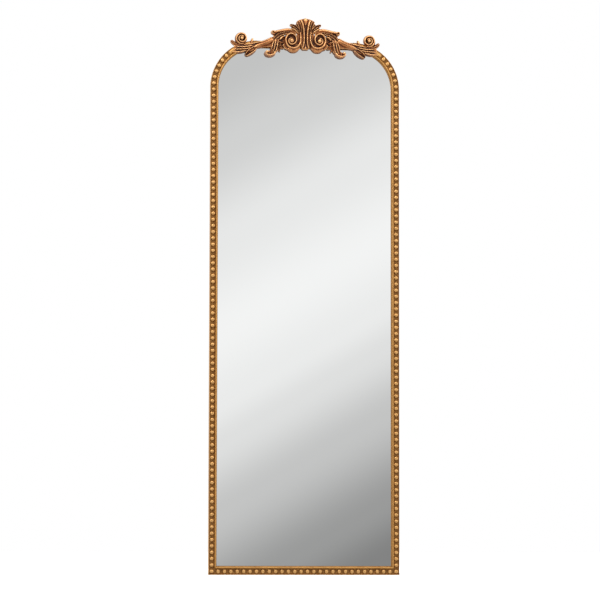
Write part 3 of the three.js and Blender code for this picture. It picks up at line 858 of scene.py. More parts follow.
@dataclass(frozen=True)
class MouldingSection:
    """The moulding's section: inward distance from the outer edge, and height above the back.

    Args:
        face_width: Width of the moulding, seen from the front.
        lip_width: Width of the outer lip.
        lip_height: Height of the outer lip.
        channel_floor: Height of the bead channel's floor.
        channel_width: Width of the bead channel.
        channel_fillet: How far the channel's floor climbs at its walls.
        ridge_height: Height of the ridge beside the channel.
        ridge_width: Width of the ridge.
        ridge_round: How much of the ridge's height is round.
        torus_height: Height of the plain round that fills the channel at the corners.
        torus_round: How much of its height is round.
        inner_edge_height: Height at which the cove meets the glass.
        rebate_inset: Distance from the outer edge to the rebate.
        rebate_depth: Height of the rebate's floor.
    """

    face_width: float = 23.4
    lip_width: float = 1.6
    lip_height: float = 20.2
    channel_floor: float = 15.5
    channel_width: float = 15.0
    channel_fillet: float = 1.5
    ridge_height: float = 24.0
    ridge_width: float = 4.8
    ridge_round: float = 3.0
    torus_height: float = 21.4
    torus_round: float = 4.2
    inner_edge_height: float = 14.0
    rebate_inset: float = 17.0
    rebate_depth: float = 10.6

    @property
    def bead_inset(self) -> float:
        """Distance from the outer edge to the middle of the bead channel."""
        return self.lip_width + self.channel_width / 2

    def rows(self, torus: float) -> np.ndarray:
        """Samples the section.

        Args:
            torus: 0 for the open bead channel, 1 where the plain round fills it.

        Returns:
            Rows of inward distance, height, hollow and crown, once round the section.
        """
        lip, rebate = self.lip_height, self.rebate_inset
        # Hollow and crown columns: the channel and the cove are painted darker, as glazing and as painted
        # shade; the lip, the ridge's top and the round are painted brighter, as rubbing and as painted
        # highlight.
        rows = [(0, lip - 1.3, 0.0, 0.7), (0.2, lip - 0.4, 0.05, 0.6), (0.6, lip, 0.05, 0.5)]
        rows += [(self.lip_width - 0.5, lip, 0.1, 0.4), (self.lip_width - 0.1, lip - 0.4, 0.2, 0.2)]
        rows += self.channel_rows(torus)
        middle = self.lip_width + self.channel_width + self.ridge_width / 2
        for turn in np.linspace(math.pi, 0, 13):
            x = middle + 0.5 * self.ridge_width * math.cos(turn)
            z = self.ridge_height - self.ridge_round + self.ridge_round * math.sin(turn) ** 0.8
            rows.append((x, z, 0.3 * (1 - math.sin(turn)), 0.5 * math.sin(turn) ** 3))
        start, foot = middle + self.ridge_width / 2, self.ridge_height - self.ridge_round
        for share in np.linspace(0.12, 1, 8):
            x = start + (self.face_width - start) * share
            drop = 1 - (1 - share) ** 1.7
            z = foot - (foot - self.inner_edge_height) * drop
            # Painted shade on the cove, darkest near the ridge and fading towards the glass, with a touch of
            # painted highlight at its inner edge.
            rows.append((x, z, 0.4 * math.sin(math.pi * min(1, 0.3 + 0.65 * share)), 0.2 * (share > 0.95)))
        rows += [(self.face_width, self.rebate_depth, 0.4, 0.0), (rebate, self.rebate_depth, 0.6, 0.0)]
        rows += [(rebate, 0.4, 0.3, 0.0), (rebate - 0.4, 0, 0.2, 0.1), (0.4, 0, 0.2, 0.1), (0, 0.4, 0.1, 0.3)]
        rows += [(0, lip * 0.5, 0.0, 0.6)]
        return np.array(rows)

    def channel_rows(self, torus: float) -> list[tuple[float, float, float, float]]:
        """Samples the bead channel's part of the section.

        Args:
            torus: 0 for the open channel, 1 where the plain round fills it.

        Returns:
            Rows as in rows().
        """
        rows = []
        for share in np.linspace(0, 1, 15):
            x = self.lip_width + 0.12 + (self.channel_width - 0.24) * share
            across = 2 * share - 1
            wall = max(0.0, (abs(across) - 0.86) / 0.14)
            open_z = self.channel_floor + self.channel_fillet * wall**2
            round_z = self.torus_height - self.torus_round
            round_z += self.torus_round * math.sqrt(max(0.0, 1 - across**2 * 0.96))
            z = open_z + (round_z - open_z) * torus
            # Darker in the open channel between the beads, as glazing and as painted shade; brighter on top
            # of the plain round, as rubbing and as painted highlight.
            hollow = (0.54 - 0.36 * abs(across) ** 3) * (1 - torus) + torus * abs(across) ** 4 * 0.6
            crown = torus * (1 - across**2) ** 2 * 0.7
            rows.append((x, z, hollow, crown))
        return rows


@dataclass(frozen=True)
class Moulding:
    """The frame's six mouldings, with their beads.

    Args:
        section: The section they share.
        corner_radius: Outer radius of the arched corners.
        bead_radius: Half a bead's length along the moulding, and its height.
        bead_reach: Half a bead's width across the moulding.
        bead_sink: How deep a bead's foot lies under the channel's floor.
        bead_pitch: Rough distance between beads.
        beaded_arc: How far the beads climb the corners, in degrees.
        fade: How soon the channel closes after the last bead, in degrees.
        joint: Gap at mitres and joints.
        rail_stretch: How much wider the bottom rail's face is than a stile's.
        top_rail_face: Width of the top rail's face.
    """

    section: MouldingSection = field(default_factory=MouldingSection)
    corner_radius: float = 138.0
    bead_radius: float = 6.1
    bead_reach: float = 7.4
    bead_sink: float = 0.8
    bead_pitch: float = 18.4
    beaded_arc: float = 52.0
    fade: float = 3.0
    joint: float = 0.3
    rail_stretch: float = 1.12
    top_rail_face: float = 20.8

    @property
    def half_width(self) -> float:
        """Half the frame's width."""
        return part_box("right_stile")[1].x / MM

    @property
    def height(self) -> float:
        """The frame's height without the crest."""
        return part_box("top_rail")[1].z / MM

    @property
    def corner_x(self) -> float:
        """The corner arc's centre, from the axis."""
        return self.half_width - self.corner_radius

    @property
    def corner_y(self) -> float:
        """The corner arc's centre, above the floor."""
        return self.height - self.corner_radius

    def rises(self, rows: np.ndarray) -> np.ndarray:
        """Spreads the section over the bottom rail, whose face is the wider one and whose back isn't.

        Args:
            rows: Rows of the section.

        Returns:
            The height of each row's point above the floor.
        """
        rises = rows[:, 0] * self.rail_stretch
        back = (rows[:, 1] < self.section.rebate_depth) | (rows[:, 0] == self.section.rebate_inset)
        rises[back] = rows[back, 0]
        return rises

    def bead(self, x: float, y: float, facing: float = 0.0) -> Shell:
        """Makes a bead, domed, sunk in the channel and slightly wider than long.

        Args:
            x: Its place across the frame.
            y: Its height above the floor.
            facing: Angle of the line that it is widest on, from the x axis.

        Returns:
            The bead's shell.
        """
        rings, around = 11, 22
        points, values = [], []
        for polar in np.linspace(0.04, math.pi / 2, rings):
            height = self.bead_radius * max(0.0, math.cos(polar)) ** 0.8
            reach = self.bead_radius * math.sin(polar) ** 0.85
            # Darker at the bead's foot, as glazing and as painted shade; brighter on its top, as rubbing and
            # as painted highlight.
            hollow = 0.6 * max(0.0, 1 - height / 1.5)
            crown = 0.8 * max(0.0, height / self.bead_radius - 0.3) / 0.7
            for turn in np.linspace(0, 2 * math.pi, around, endpoint=False):
                wide = reach * self.bead_reach / self.bead_radius * math.cos(turn)
                long = reach * math.sin(turn)
                points.append((
                    x + wide * math.cos(facing) - long * math.sin(facing),
                    y + wide * math.sin(facing) + long * math.cos(facing),
                    height,
                ))
                values.append((hollow, crown))
        dome = np.array(points).reshape(rings, around, 3)
        dome[..., 2] += self.section.channel_floor
        dome[-1, :, 2] -= self.bead_sink
        return loft(dome, values=np.array(values).reshape(rings, around, 2))

    def bar(self, start: np.ndarray, end: np.ndarray, rows: np.ndarray) -> Shell:
        """Makes a straight moulding.

        Args:
            start: The section's points at its start.
            end: The same points at its end.
            rows: The section's rows, for their hollow and crown values.

        Returns:
            The closed shell.
        """
        values = np.broadcast_to(rows[:, 2:], (2, *rows[:, 2:].shape))
        return loft(np.stack([start, end]), values=values)

    def stile(self) -> Shell:
        """Makes the right stile, mitred at its foot, with beads to half a step below its joint.

        Returns:
            The stile's shell.
        """
        rows = self.section.rows(0)
        x = self.half_width - rows[:, 0]
        foot = np.stack([x, self.rises(rows) + self.joint, rows[:, 1]], axis=1)
        head = np.stack([x, np.full_like(x, self.corner_y), rows[:, 1]], axis=1)
        start = self.section.bead_inset * self.rail_stretch
        run = self.corner_y - start
        intervals = round(run / self.bead_pitch - 0.5)
        step = run / (intervals + 0.5)
        middle = self.half_width - self.section.bead_inset
        beads = [self.bead(middle, start + i * step) for i in range(intervals + 1)]
        return merged([self.bar(foot, head, rows), *beads])

    def bottom_rail(self) -> Shell:
        """Makes the bottom rail, mitred at both ends, with painted shade over its cove.

        Returns:
            The rail's shell.
        """
        rows = self.section.rows(0)
        # Painted shade: the bottom rail's cove is made fully dark, as if in shadow.
        cove = rows[:, 0] > self.section.lip_width + self.section.channel_width + self.section.ridge_width
        rows[cove, 2] = 1.0
        reach = self.half_width - rows[:, 0] - self.joint
        ends = [np.stack([side * reach, self.rises(rows), rows[:, 1]], axis=1) for side in (-1, 1)]
        run = 2 * (self.half_width - self.section.bead_inset)
        intervals = round(run / self.bead_pitch)
        y = self.section.bead_inset * self.rail_stretch
        beads = [self.bead(-run / 2 + i * run / intervals, y, math.pi / 2) for i in range(1, intervals)]
        return merged([self.bar(ends[0], ends[1], rows), *beads])

    def corner(self) -> Shell:
        """Makes the right corner: beads up to the end of the channel, then a plain round.

        Returns:
            The corner's shell.
        """
        seam = self.joint / self.corner_radius
        run = self.corner_y - self.section.bead_inset
        reach = self.corner_radius - self.section.bead_inset
        step = run / (round(run / self.bead_pitch - 0.5) + 0.5) / reach
        channel_end = math.radians(self.beaded_arc) - step / 2
        beads = []
        for turn in np.arange(step / 2, channel_end, step):
            x, y = self.corner_x + reach * math.cos(turn), self.corner_y + reach * math.sin(turn)
            beads.append(self.bead(x, y, turn))
        rings, values = [], []
        for turn in np.linspace(seam, math.pi / 2 - seam, 73):
            torus = min(1.0, max(0.0, (turn - channel_end) / math.radians(self.fade)))
            rows = self.section.rows(torus * torus * (3 - 2 * torus))
            out = self.corner_radius - rows[:, 0]
            x, y = self.corner_x + out * math.cos(turn), self.corner_y + out * math.sin(turn)
            rings.append(np.stack([x, y, rows[:, 1]], axis=1))
            values.append(rows[:, 2:])
        return merged([loft(np.array(rings), values=np.array(values)), *beads])

    def top_rail(self) -> Shell:
        """Makes the top rail, planed flat and narrower behind the crest, and painted dark all over as the
        crest's shade.

        Returns:
            The rail's shell.
        """
        rows = self.section.rows(1)
        rows[:, 0] = np.minimum(rows[:, 0], self.top_rail_face)
        rows[:, 1] = np.minimum(rows[:, 1], self.section.channel_floor)
        # Painted shade: the rail behind the crest is darkened all over, as if in the crest's shadow, and gets
        # no bright crowns.
        rows[:, 2:] = (0.7, 0.0)
        y = self.height - rows[:, 0]
        reach = self.corner_x - self.joint
        ends = [np.stack([np.full_like(y, side * reach), y, rows[:, 1]], axis=1) for side in (-1, 1)]
        return self.bar(ends[0], ends[1], rows)

    def build(self, place: Place) -> None:
        """Builds and dresses all six mouldings.

        Args:
            place: Where face coordinates lie.
        """
        stile, corner = self.stile(), self.corner()
        shells = {"bottom_rail": self.bottom_rail(), "top_rail": self.top_rail()}
        for hand, side in SIDES:
            shells[f"{hand}_stile"] = stile.mirrored(side)
            shells[f"{hand}_corner"] = corner.mirrored(side)
        for node, shell in shells.items():
            piece = new_object(f"gilt_{node}", shell, place)
            WARDROBE.finish_piece(piece, "gilt_moulding", nodes=[node])


# ---------------------------------------------------------------- carving


class Section(Enum):
    """Sections of a carved stroke: height, as a share, at places from the middle to the edge."""

    CORD = ((0.0, 1.0), (0.35, 0.94), (0.65, 0.78), (0.88, 0.5), (1.0, 0.2))
    FLUTE = ((0.0, 0.36), (0.3, 0.5), (0.62, 1.0), (0.84, 0.8), (1.0, 0.2))
    STRAP = ((0.0, 0.68), (0.35, 0.76), (0.62, 1.0), (0.84, 0.82), (1.0, 0.2))
    RIB = ((0.0, 1.0), (0.2, 0.72), (0.55, 0.56), (0.8, 0.62), (1.0, 0.2))

    def heights(self, across: np.ndarray) -> np.ndarray:
        """Reads the section, eased between its places.

        Args:
            across: Places from -1 to 1, from edge to edge.

        Returns:
            The height at each place.
        """
        places, heights = np.array(self.value).T
        reach = np.abs(across)
        i = np.clip(np.searchsorted(places, reach, side="right") - 1, 0, len(places) - 2)
        share = (reach - places[i]) / (places[i + 1] - places[i])
        share = np.where(i < len(places) - 2, share * share * (3 - 2 * share), share)
        return heights[i] + (heights[i + 1] - heights[i]) * share


@dataclass(frozen=True)
class Stroke:
    """A carved stroke with a flat back.

    Args:
        path: Points that its middle follows, from the crest's own origin.
        widths: Half widths at even steps along it.
        rises: Heights at even steps, as shares of the relief.
        section: Its section.
    """

    path: Sequence[Pair]
    widths: Sequence[float]
    rises: Sequence[float]
    section: Section = Section.CORD

    def shell(self, relief: float) -> Shell:
        """Skins the stroke, with round ends, on a back at z = 0.

        Args:
            relief: Height that a rise of 1 stands for.

        Returns:
            The closed shell.
        """
        line = spline(self.path, 0.8)
        run = np.concatenate([[0], np.cumsum(np.hypot(*np.diff(line, axis=0).T))])
        length = run[-1]
        near = np.array([0.02, 0.1, 0.22, 0.4, 0.65])
        first, last = self.widths[0], self.widths[-1]
        place = np.unique(np.concatenate([run[1:-1], near * first, length - near * last]))
        x, y = np.interp(place, run, line[:, 0]), np.interp(place, run, line[:, 1])
        tangent = np.stack([np.gradient(x, place), np.gradient(y, place)], axis=1)
        tangent /= np.linalg.norm(tangent, axis=1)[:, None]
        share = place / length
        cap = np.minimum(place / max(first, 0.1), (length - place) / max(last, 0.1)).clip(0, 1)
        cap = np.sqrt(1 - (1 - cap) ** 2)
        half = along(self.widths, share) * cap
        rise = along(self.rises, share) * relief * (0.45 + 0.55 * cap)
        across = np.linspace(1, -1, 19)
        rings = np.empty((len(place), len(across) + 2, 3))
        normal = np.stack([-tangent[:, 1], tangent[:, 0]], axis=1)
        edges = [(1.0, 0.0), *zip(across, self.section.heights(across)), (-1.0, 0.0)]
        for column, (u, h) in enumerate(edges):
            rings[:, column, 0] = x + normal[:, 0] * u * half
            rings[:, column, 1] = y + normal[:, 1] * u * half
            rings[:, column, 2] = h * rise
        return loft(rings)


@dataclass(frozen=True)
class Ground:
    """A low plate behind the strokes, with a smooth outline.

    Args:
        outline: Points round it.
        rise: Its height, as a share of the relief.
    """

    outline: Sequence[Pair]
    rise: float = 0.3

    def shell(self, relief: float) -> Shell:
        """Makes the plate on a back at z = 0.

        Args:
            relief: Height that a rise of 1 stands for.

        Returns:
            The closed shell.
        """
        ring = spline([*self.outline, self.outline[0]], 2.0)[:-1]
        levels = [np.column_stack([ring, np.full(len(ring), z)]) for z in (0, self.rise * relief)]
        return loft(np.stack(levels))


@dataclass(frozen=True)
class Boss:
    """A round boss, such as the eye of a volute.

    Args:
        centre: Its middle, from the crest's own origin.
        radius: Its radius.
        rise: Its height, as a share of the relief.
    """

    centre: Pair
    radius: float
    rise: float

    def shell(self, relief: float) -> Shell:
        """Makes the boss as a dome on a back at z = 0.

        Args:
            relief: Height that a rise of 1 stands for.

        Returns:
            The closed shell.
        """
        top = self.rise * relief
        cap = min(self.radius * 0.9, top * 0.5)
        profile = [(self.radius, 0.0), (self.radius, top - cap)]
        profile += [
            (self.radius * math.cos(a), top - cap + cap * math.sin(a)) for a in np.linspace(0.2, 1.5, 7)
        ]
        return turned(profile, 28).moved(*self.centre)


Form = Stroke | Ground | Boss


class Carving(Protocol):
    """A part of the crest that is drawn as forms."""

    def forms(self) -> list[Form]:
        """The part's forms, from the crest's own origin."""


def disc(centre: Pair, radius: float, rise: float) -> Ground:
    """A round ground behind a coil."""
    turns = np.linspace(0, 2 * math.pi, 13)[:-1]
    return Ground([(centre[0] + radius * math.cos(a), centre[1] + radius * math.sin(a)) for a in turns], rise)


@dataclass(frozen=True)
class Palmette:
    """The palmette: two long middle ridges under a domed cap, and three lobes fanning out on each side.

    Args:
        foot: Depth of its foot below the frame's top.
        top: Height of its top above it.
        ground_rise: Height of its ground, as a share of the relief.
    """

    foot: float = 24.0
    top: float = 68.0
    ground_rise: float = 0.42

    def ground(self) -> Ground:
        """The ground behind the lobes, the same on both sides."""
        half = [
            (8, -self.foot), (12, -17), (13, -3), (14, 10), (19, 24), (30, 33), (42, 42), (40, 46.5),
            (29, 50), (25, 60), (17, 64.5), (9, 67),
        ]
        left = [(-x, y) for x, y in reversed(half)]
        return Ground([(0, -self.foot), *half, (0, self.top), *left], self.ground_rise)

    def lobes(self, side: int) -> list[Form]:
        """Draws the ridge and the three lobes of one side.

        Args:
            side: 1 for the right, -1 for the left.

        Returns:
            Their strokes.
        """
        ridge = [(10.5, -21), (6.8, -12), (4.9, 0), (4.7, 12), (5.2, 25), (6.8, 38), (9.2, 50), (13.6, 63)]
        lobes = [
            Stroke(ridge, (3.4, 3.9, 4.1, 4.1, 4.2, 4.6, 5.0, 5.4, 4.4),
                   (0.6, 0.8, 0.84, 0.86, 0.9, 0.92, 0.86)),
            Stroke([(14, 20), (15.6, 36), (19.4, 49), (24.2, 60.5)],
                   (2.8, 4.0, 5.0, 6.0, 6.2, 5.0), (0.56, 0.76, 0.84, 0.88, 0.82), Section.STRAP),
            Stroke([(17.5, 24), (21.5, 33), (28.5, 41), (37.5, 46), (47, 48.6)],
                   (2.6, 4.2, 5.4, 5.6, 4.8, 2.8), (0.56, 0.72, 0.8, 0.82, 0.7), Section.STRAP),
            Stroke([(20.5, 20), (26, 28), (34, 34.5), (43, 38.6)],
                   (2.4, 3.8, 4.2, 2.8), (0.5, 0.66, 0.7, 0.58)),
        ]
        return [Stroke([(side * x, y) for x, y in o.path], o.widths, o.rises, o.section) for o in lobes]

    def forms(self) -> list[Form]:
        """The ground, the cap, the foot's stem and both sides' lobes."""
        cap = Stroke([(0, 46), (0, 69.5)], (3, 7.5, 9.5, 9), (0.56, 0.62, 0.68, 0.74))
        stem = Stroke([(0, -self.foot), (0, -13)], (6.5, 4, 1), (0.64, 0.6, 0.45))
        return [self.ground(), cap, stem, *self.lobes(-1), *self.lobes(1)]


@dataclass(frozen=True)
class CScroll:
    """The right C-scroll: a strap that runs down the palmette and coils about its eye, over a tongue.

    Args:
        eye: Middle of the coil.
        eye_radius: Radius of the boss in it.
        disc_radius: Radius of the ground behind it.
        strap: Points that the strap follows, from its head to the eye.
    """

    eye: Pair = (41.6, 0.6)
    eye_radius: float = 6.4
    disc_radius: float = 18.0
    strap: tuple[Pair, ...] = (
        (17, 30), (14.8, 14), (15.8, -3), (22.5, -15.5), (33, -20.5), (44, -19), (54, -12), (58.5, 0),
        (57, 12), (50, 20), (41, 22), (32, 17), (27.6, 8), (28.6, -1.5), (34.2, -8), (42.3, -9.8),
        (48.7, -5.6), (49.8, 2), (45.2, 7.4), (39.2, 7.2),
    )

    def forms(self) -> list[Form]:
        """The grounds, the strap, the tongue and the eye."""
        return [
            disc(self.eye, self.disc_radius, 0.32),
            Ground([(12, 22), (22, 24), (30, 10), (28, -10), (22, -20), (14, -12)], 0.3),
            Ground([(20, -10), (18, -23), (40, -26), (60, -23), (66, -10), (50, -8)], 0.42),
            Stroke(self.strap, (2.4, 3.4, 4.6, 5.2, 5.0, 4.6, 4.2, 3.8, 3.7, 4.0, 4.2),
                   (0.62, 0.72, 0.78, 0.8, 0.82, 0.84, 0.86, 0.88, 0.9, 0.92)),
            Stroke([(19, -19), (29, -25.5), (40, -26.5), (54, -21)], (4.5, 7, 6.8, 3.6),
                   (0.5, 0.62, 0.62, 0.5)),
            Boss(self.eye, self.eye_radius, 1.0),
        ]


@dataclass(frozen=True)
class Acanthus:
    """The right acanthus: a shoulder leaf with a curled tip, and a drop leaf that hooks outward.

    Args:
        ridge: Half widths of the drop leaf's three ridges.
        hook_eye: Middle of the hook at the drop leaf's tip.
        hook_radius: Radius of the boss in it.
    """

    ridge: tuple[float, ...] = (1.8, 2.9, 3.0, 2.8, 1.8)
    hook_eye: Pair = (114.3, -33.6)
    hook_radius: float = 3.8

    def grounds(self) -> list[Form]:
        """The grounds behind the leaves, in the spandrel and behind the hook."""
        return [
            Ground([(27, 27), (37, 33), (60, 33), (84, 29), (95, 24), (96, 13), (104, 6), (105, -8),
                    (103, -24), (95, -34), (84, -32), (81, -18), (79, 0), (72, 12), (60, 18), (40, 20),
                    (29, 18)], 0.44),
            Ground([(60, 16), (78, 14), (84, -10), (82, -18), (68, -18), (60, -16)], 0.16),
            Ground([(92, -29), (103, -27.5), (111, -31), (115, -34), (113, -40.5), (102, -43), (92, -39)],
                   0.3),
        ]

    def shoulder(self) -> list[Form]:
        """The shoulder leaf, its strap, a small lobe and the curled tip."""
        return [
            Stroke([(37, 32), (50, 33.6), (65, 31.6), (80, 28.3), (91.5, 26.5), (99.5, 29.5)],
                   (4.4, 5.8, 5.8, 5.4, 5, 2.6), (0.55, 0.7, 0.78, 0.86, 0.95, 0.98)),
            Stroke([(46, 25), (58, 23.5), (72, 20), (84, 13.5), (93, 4), (98, -6)],
                   (3, 4.6, 5.6, 6, 5.4, 3.6), (0.55, 0.68, 0.74, 0.76, 0.74, 0.62), Section.STRAP),
            Stroke([(62, 15), (70, 11), (77, 3)], (2.4, 4.4, 3), (0.56, 0.66, 0.6)),
            Stroke([(89, 22), (95.5, 20.5), (100, 24), (99.8, 29.5)], (2, 3, 3, 2), (0.8, 0.94, 1, 0.95)),
        ]

    def drop_leaf(self) -> list[Form]:
        """The drop leaf's body, its three ridges, and the hook with its eye."""
        ridges = (
            ([(80, 6), (83, -8), (85, -20), (88.5, -30), (94, -37.5)], (0.6, 0.78, 0.8, 0.78, 0.7)),
            ([(88, 8), (90.5, -6), (92.5, -19), (95.5, -30), (99.5, -37)], (0.62, 0.84, 0.88, 0.84, 0.74)),
            ([(94, 2), (98, -10), (101, -22), (103, -30)], (0.6, 0.76, 0.76, 0.6)),
        )
        return [
            Stroke([(84, 12), (88, 0), (91, -14), (94, -26), (98, -35.5), (103.5, -39.5)],
                   (6, 9, 11.5, 11, 8.5, 5), (0.5, 0.58, 0.62, 0.6, 0.58, 0.52)),
            *(Stroke(path, self.ridge, rises) for path, rises in ridges),
            Stroke([(89.5, -31), (94, -39), (103.5, -43.4), (113, -42), (118, -36.4), (115.6, -31)],
                   (3, 4.8, 4.6, 4.2, 3.8, 2.6), (0.7, 0.84, 0.88, 0.9, 0.95, 0.96)),
            Boss(self.hook_eye, self.hook_radius, 1.0),
        ]

    def leaflets(self) -> list[Form]:
        """The small ribbed leaflets that fill the spandrel."""
        wide, narrow = (3.2, 4.3, 1.8), (2.8, 3.4, 1.4)
        leaflets = (
            ([(80, 10), (72, 11.5), (65, 8)], wide),
            ([(82, 0), (75, -4.5), (66, -4)], wide),
            ([(84, -9), (76, -14), (65, -14)], wide),
            ([(83, -14), (74, -19), (64, -22)], narrow),
            ([(85, -22), (78, -26), (75, -32)], narrow),
        )
        return [Stroke(path, widths, (0.6, 0.66, 0.5), Section.RIB) for path, widths in leaflets]

    def forms(self) -> list[Form]:
        """Everything that the acanthus is carved of."""
        return [*self.grounds(), *self.shoulder(), *self.drop_leaf(), *self.leaflets()]


@dataclass(frozen=True)
class Branch:
    """The right branch: two strands, a lower leaf, a bud, a curled rosette and a sheath over the corner.

    Args:
        eye: Middle of the rosette.
        eye_radius: Radius of the boss in it.
        disc_radius: Radius of the ground behind it.
        coil_start: Reach of the coil at its outer end.
        coil_end: Reach of the coil at its inner end.
        coil_turn: How far the coil turns, in degrees.
        coil_angle: Angle at which it starts, in degrees.
        strand: Half widths of the sheath's strands.
    """

    eye: Pair = (189.0, 5.0)
    eye_radius: float = 4.8
    disc_radius: float = 14.5
    coil_start: float = 16.4
    coil_end: float = 5.6
    coil_turn: float = 640.0
    coil_angle: float = -115.0
    strand: tuple[float, ...] = (2.4, 3.2, 3.2, 2.2)

    def coil(self) -> Stroke:
        """Draws the rosette's coil, which tightens towards the eye.

        Returns:
            Its stroke.
        """
        path = []
        for share in np.linspace(0, 1, 30):
            angle = math.radians(self.coil_angle + self.coil_turn * share)
            reach = self.coil_start * (self.coil_end / self.coil_start) ** share**1.8
            path.append((self.eye[0] + reach * math.cos(angle), self.eye[1] + reach * math.sin(angle)))
        return Stroke(path, (3.8, 4.4, 4.4, 4.0, 3.6, 3.2), (0.66, 0.68, 0.72, 0.78, 0.86, 0.9))

    def grounds(self) -> list[Form]:
        """The grounds behind the branch and the rosette."""
        return [
            Ground([(96, 12), (112, 3), (130, -5), (150, -9), (170, -13), (205, -14), (213, -24), (204, -36),
                    (184, -30), (166, -33), (150, -27), (138, -20.5), (122, -19), (104, -18.5), (98, -10)],
                   0.48),
            disc(self.eye, self.disc_radius, 0.28),
        ]

    def stem(self) -> list[Form]:
        """The stem's two strands, the lower leaf and the bud."""
        return [
            Stroke([(94, 6), (106, -1), (118, -7), (131, -11.5), (144, -16), (154, -22)],
                   (7.5, 9.6, 10.4, 9.6, 7.4, 4.2), (0.7, 0.8, 0.82, 0.8, 0.76, 0.66)),
            Stroke([(99, 10), (110, 3), (124, -2.5), (138, -5.5), (152, -8.5), (168, -12), (184, -14)],
                   (3.6, 3.8, 3.4, 3.2, 3.2, 3.2, 2.6), (0.74, 0.8, 0.78, 0.74, 0.7, 0.66, 0.62)),
            Stroke([(145, -19), (155, -27), (166, -35.5), (177.8, -45)],
                   (5, 9, 10, 8.8, 4.6), (0.6, 0.78, 0.8, 0.74, 0.6), Section.FLUTE),
            Stroke([(161, -12), (158.5, -2), (155.5, 7)], (4.6, 5, 4.4, 2.4), (0.55, 0.64, 0.52)),
        ]

    def sheath(self) -> list[Form]:
        """The outer leaflet and the three strands over the corner."""
        strands = (
            ([(156, -15), (174, -19.5), (192, -20.5), (207, -19)], (0.62, 0.76, 0.76, 0.6)),
            ([(158, -21.5), (176, -26), (194, -27.5), (211, -28)], (0.6, 0.74, 0.74, 0.6)),
            ([(174, -31), (190, -34.5), (205, -36), (218, -36.5)], (0.6, 0.72, 0.7, 0.56)),
        )
        return [
            Stroke([(199, -13), (211, -9.5), (221, -0.5)], (5, 6.6, 6, 4), (0.62, 0.68, 0.5), Section.RIB),
            *(Stroke(path, self.strand, rises) for path, rises in strands),
        ]

    def forms(self) -> list[Form]:
        """Everything that the branch is carved of."""
        eye = Boss(self.eye, self.eye_radius, 1.0)
        return [*self.grounds(), *self.stem(), self.coil(), eye, *self.sheath()]


def smoothed(points: np.ndarray, edges: np.ndarray, rounds: int, pull: float = 0.6) -> np.ndarray:
    """Relaxes points towards their neighbours.

    Args:
        points: Points, n by 3.
        edges: Pairs of point numbers.
        rounds: How many times.
        pull: How far each round goes.

    Returns:
        The relaxed points.
    """
    count = len(points)
    a, b = edges.T
    degree = np.maximum(1, np.bincount(a, minlength=count) + np.bincount(b, minlength=count))
    now = points.copy()
    for _ in range(rounds):
        for axis in range(3):
            total = np.bincount(a, now[b, axis], count) + np.bincount(b, now[a, axis], count)
            now[:, axis] += pull * (total / degree - now[:, axis])
    return now


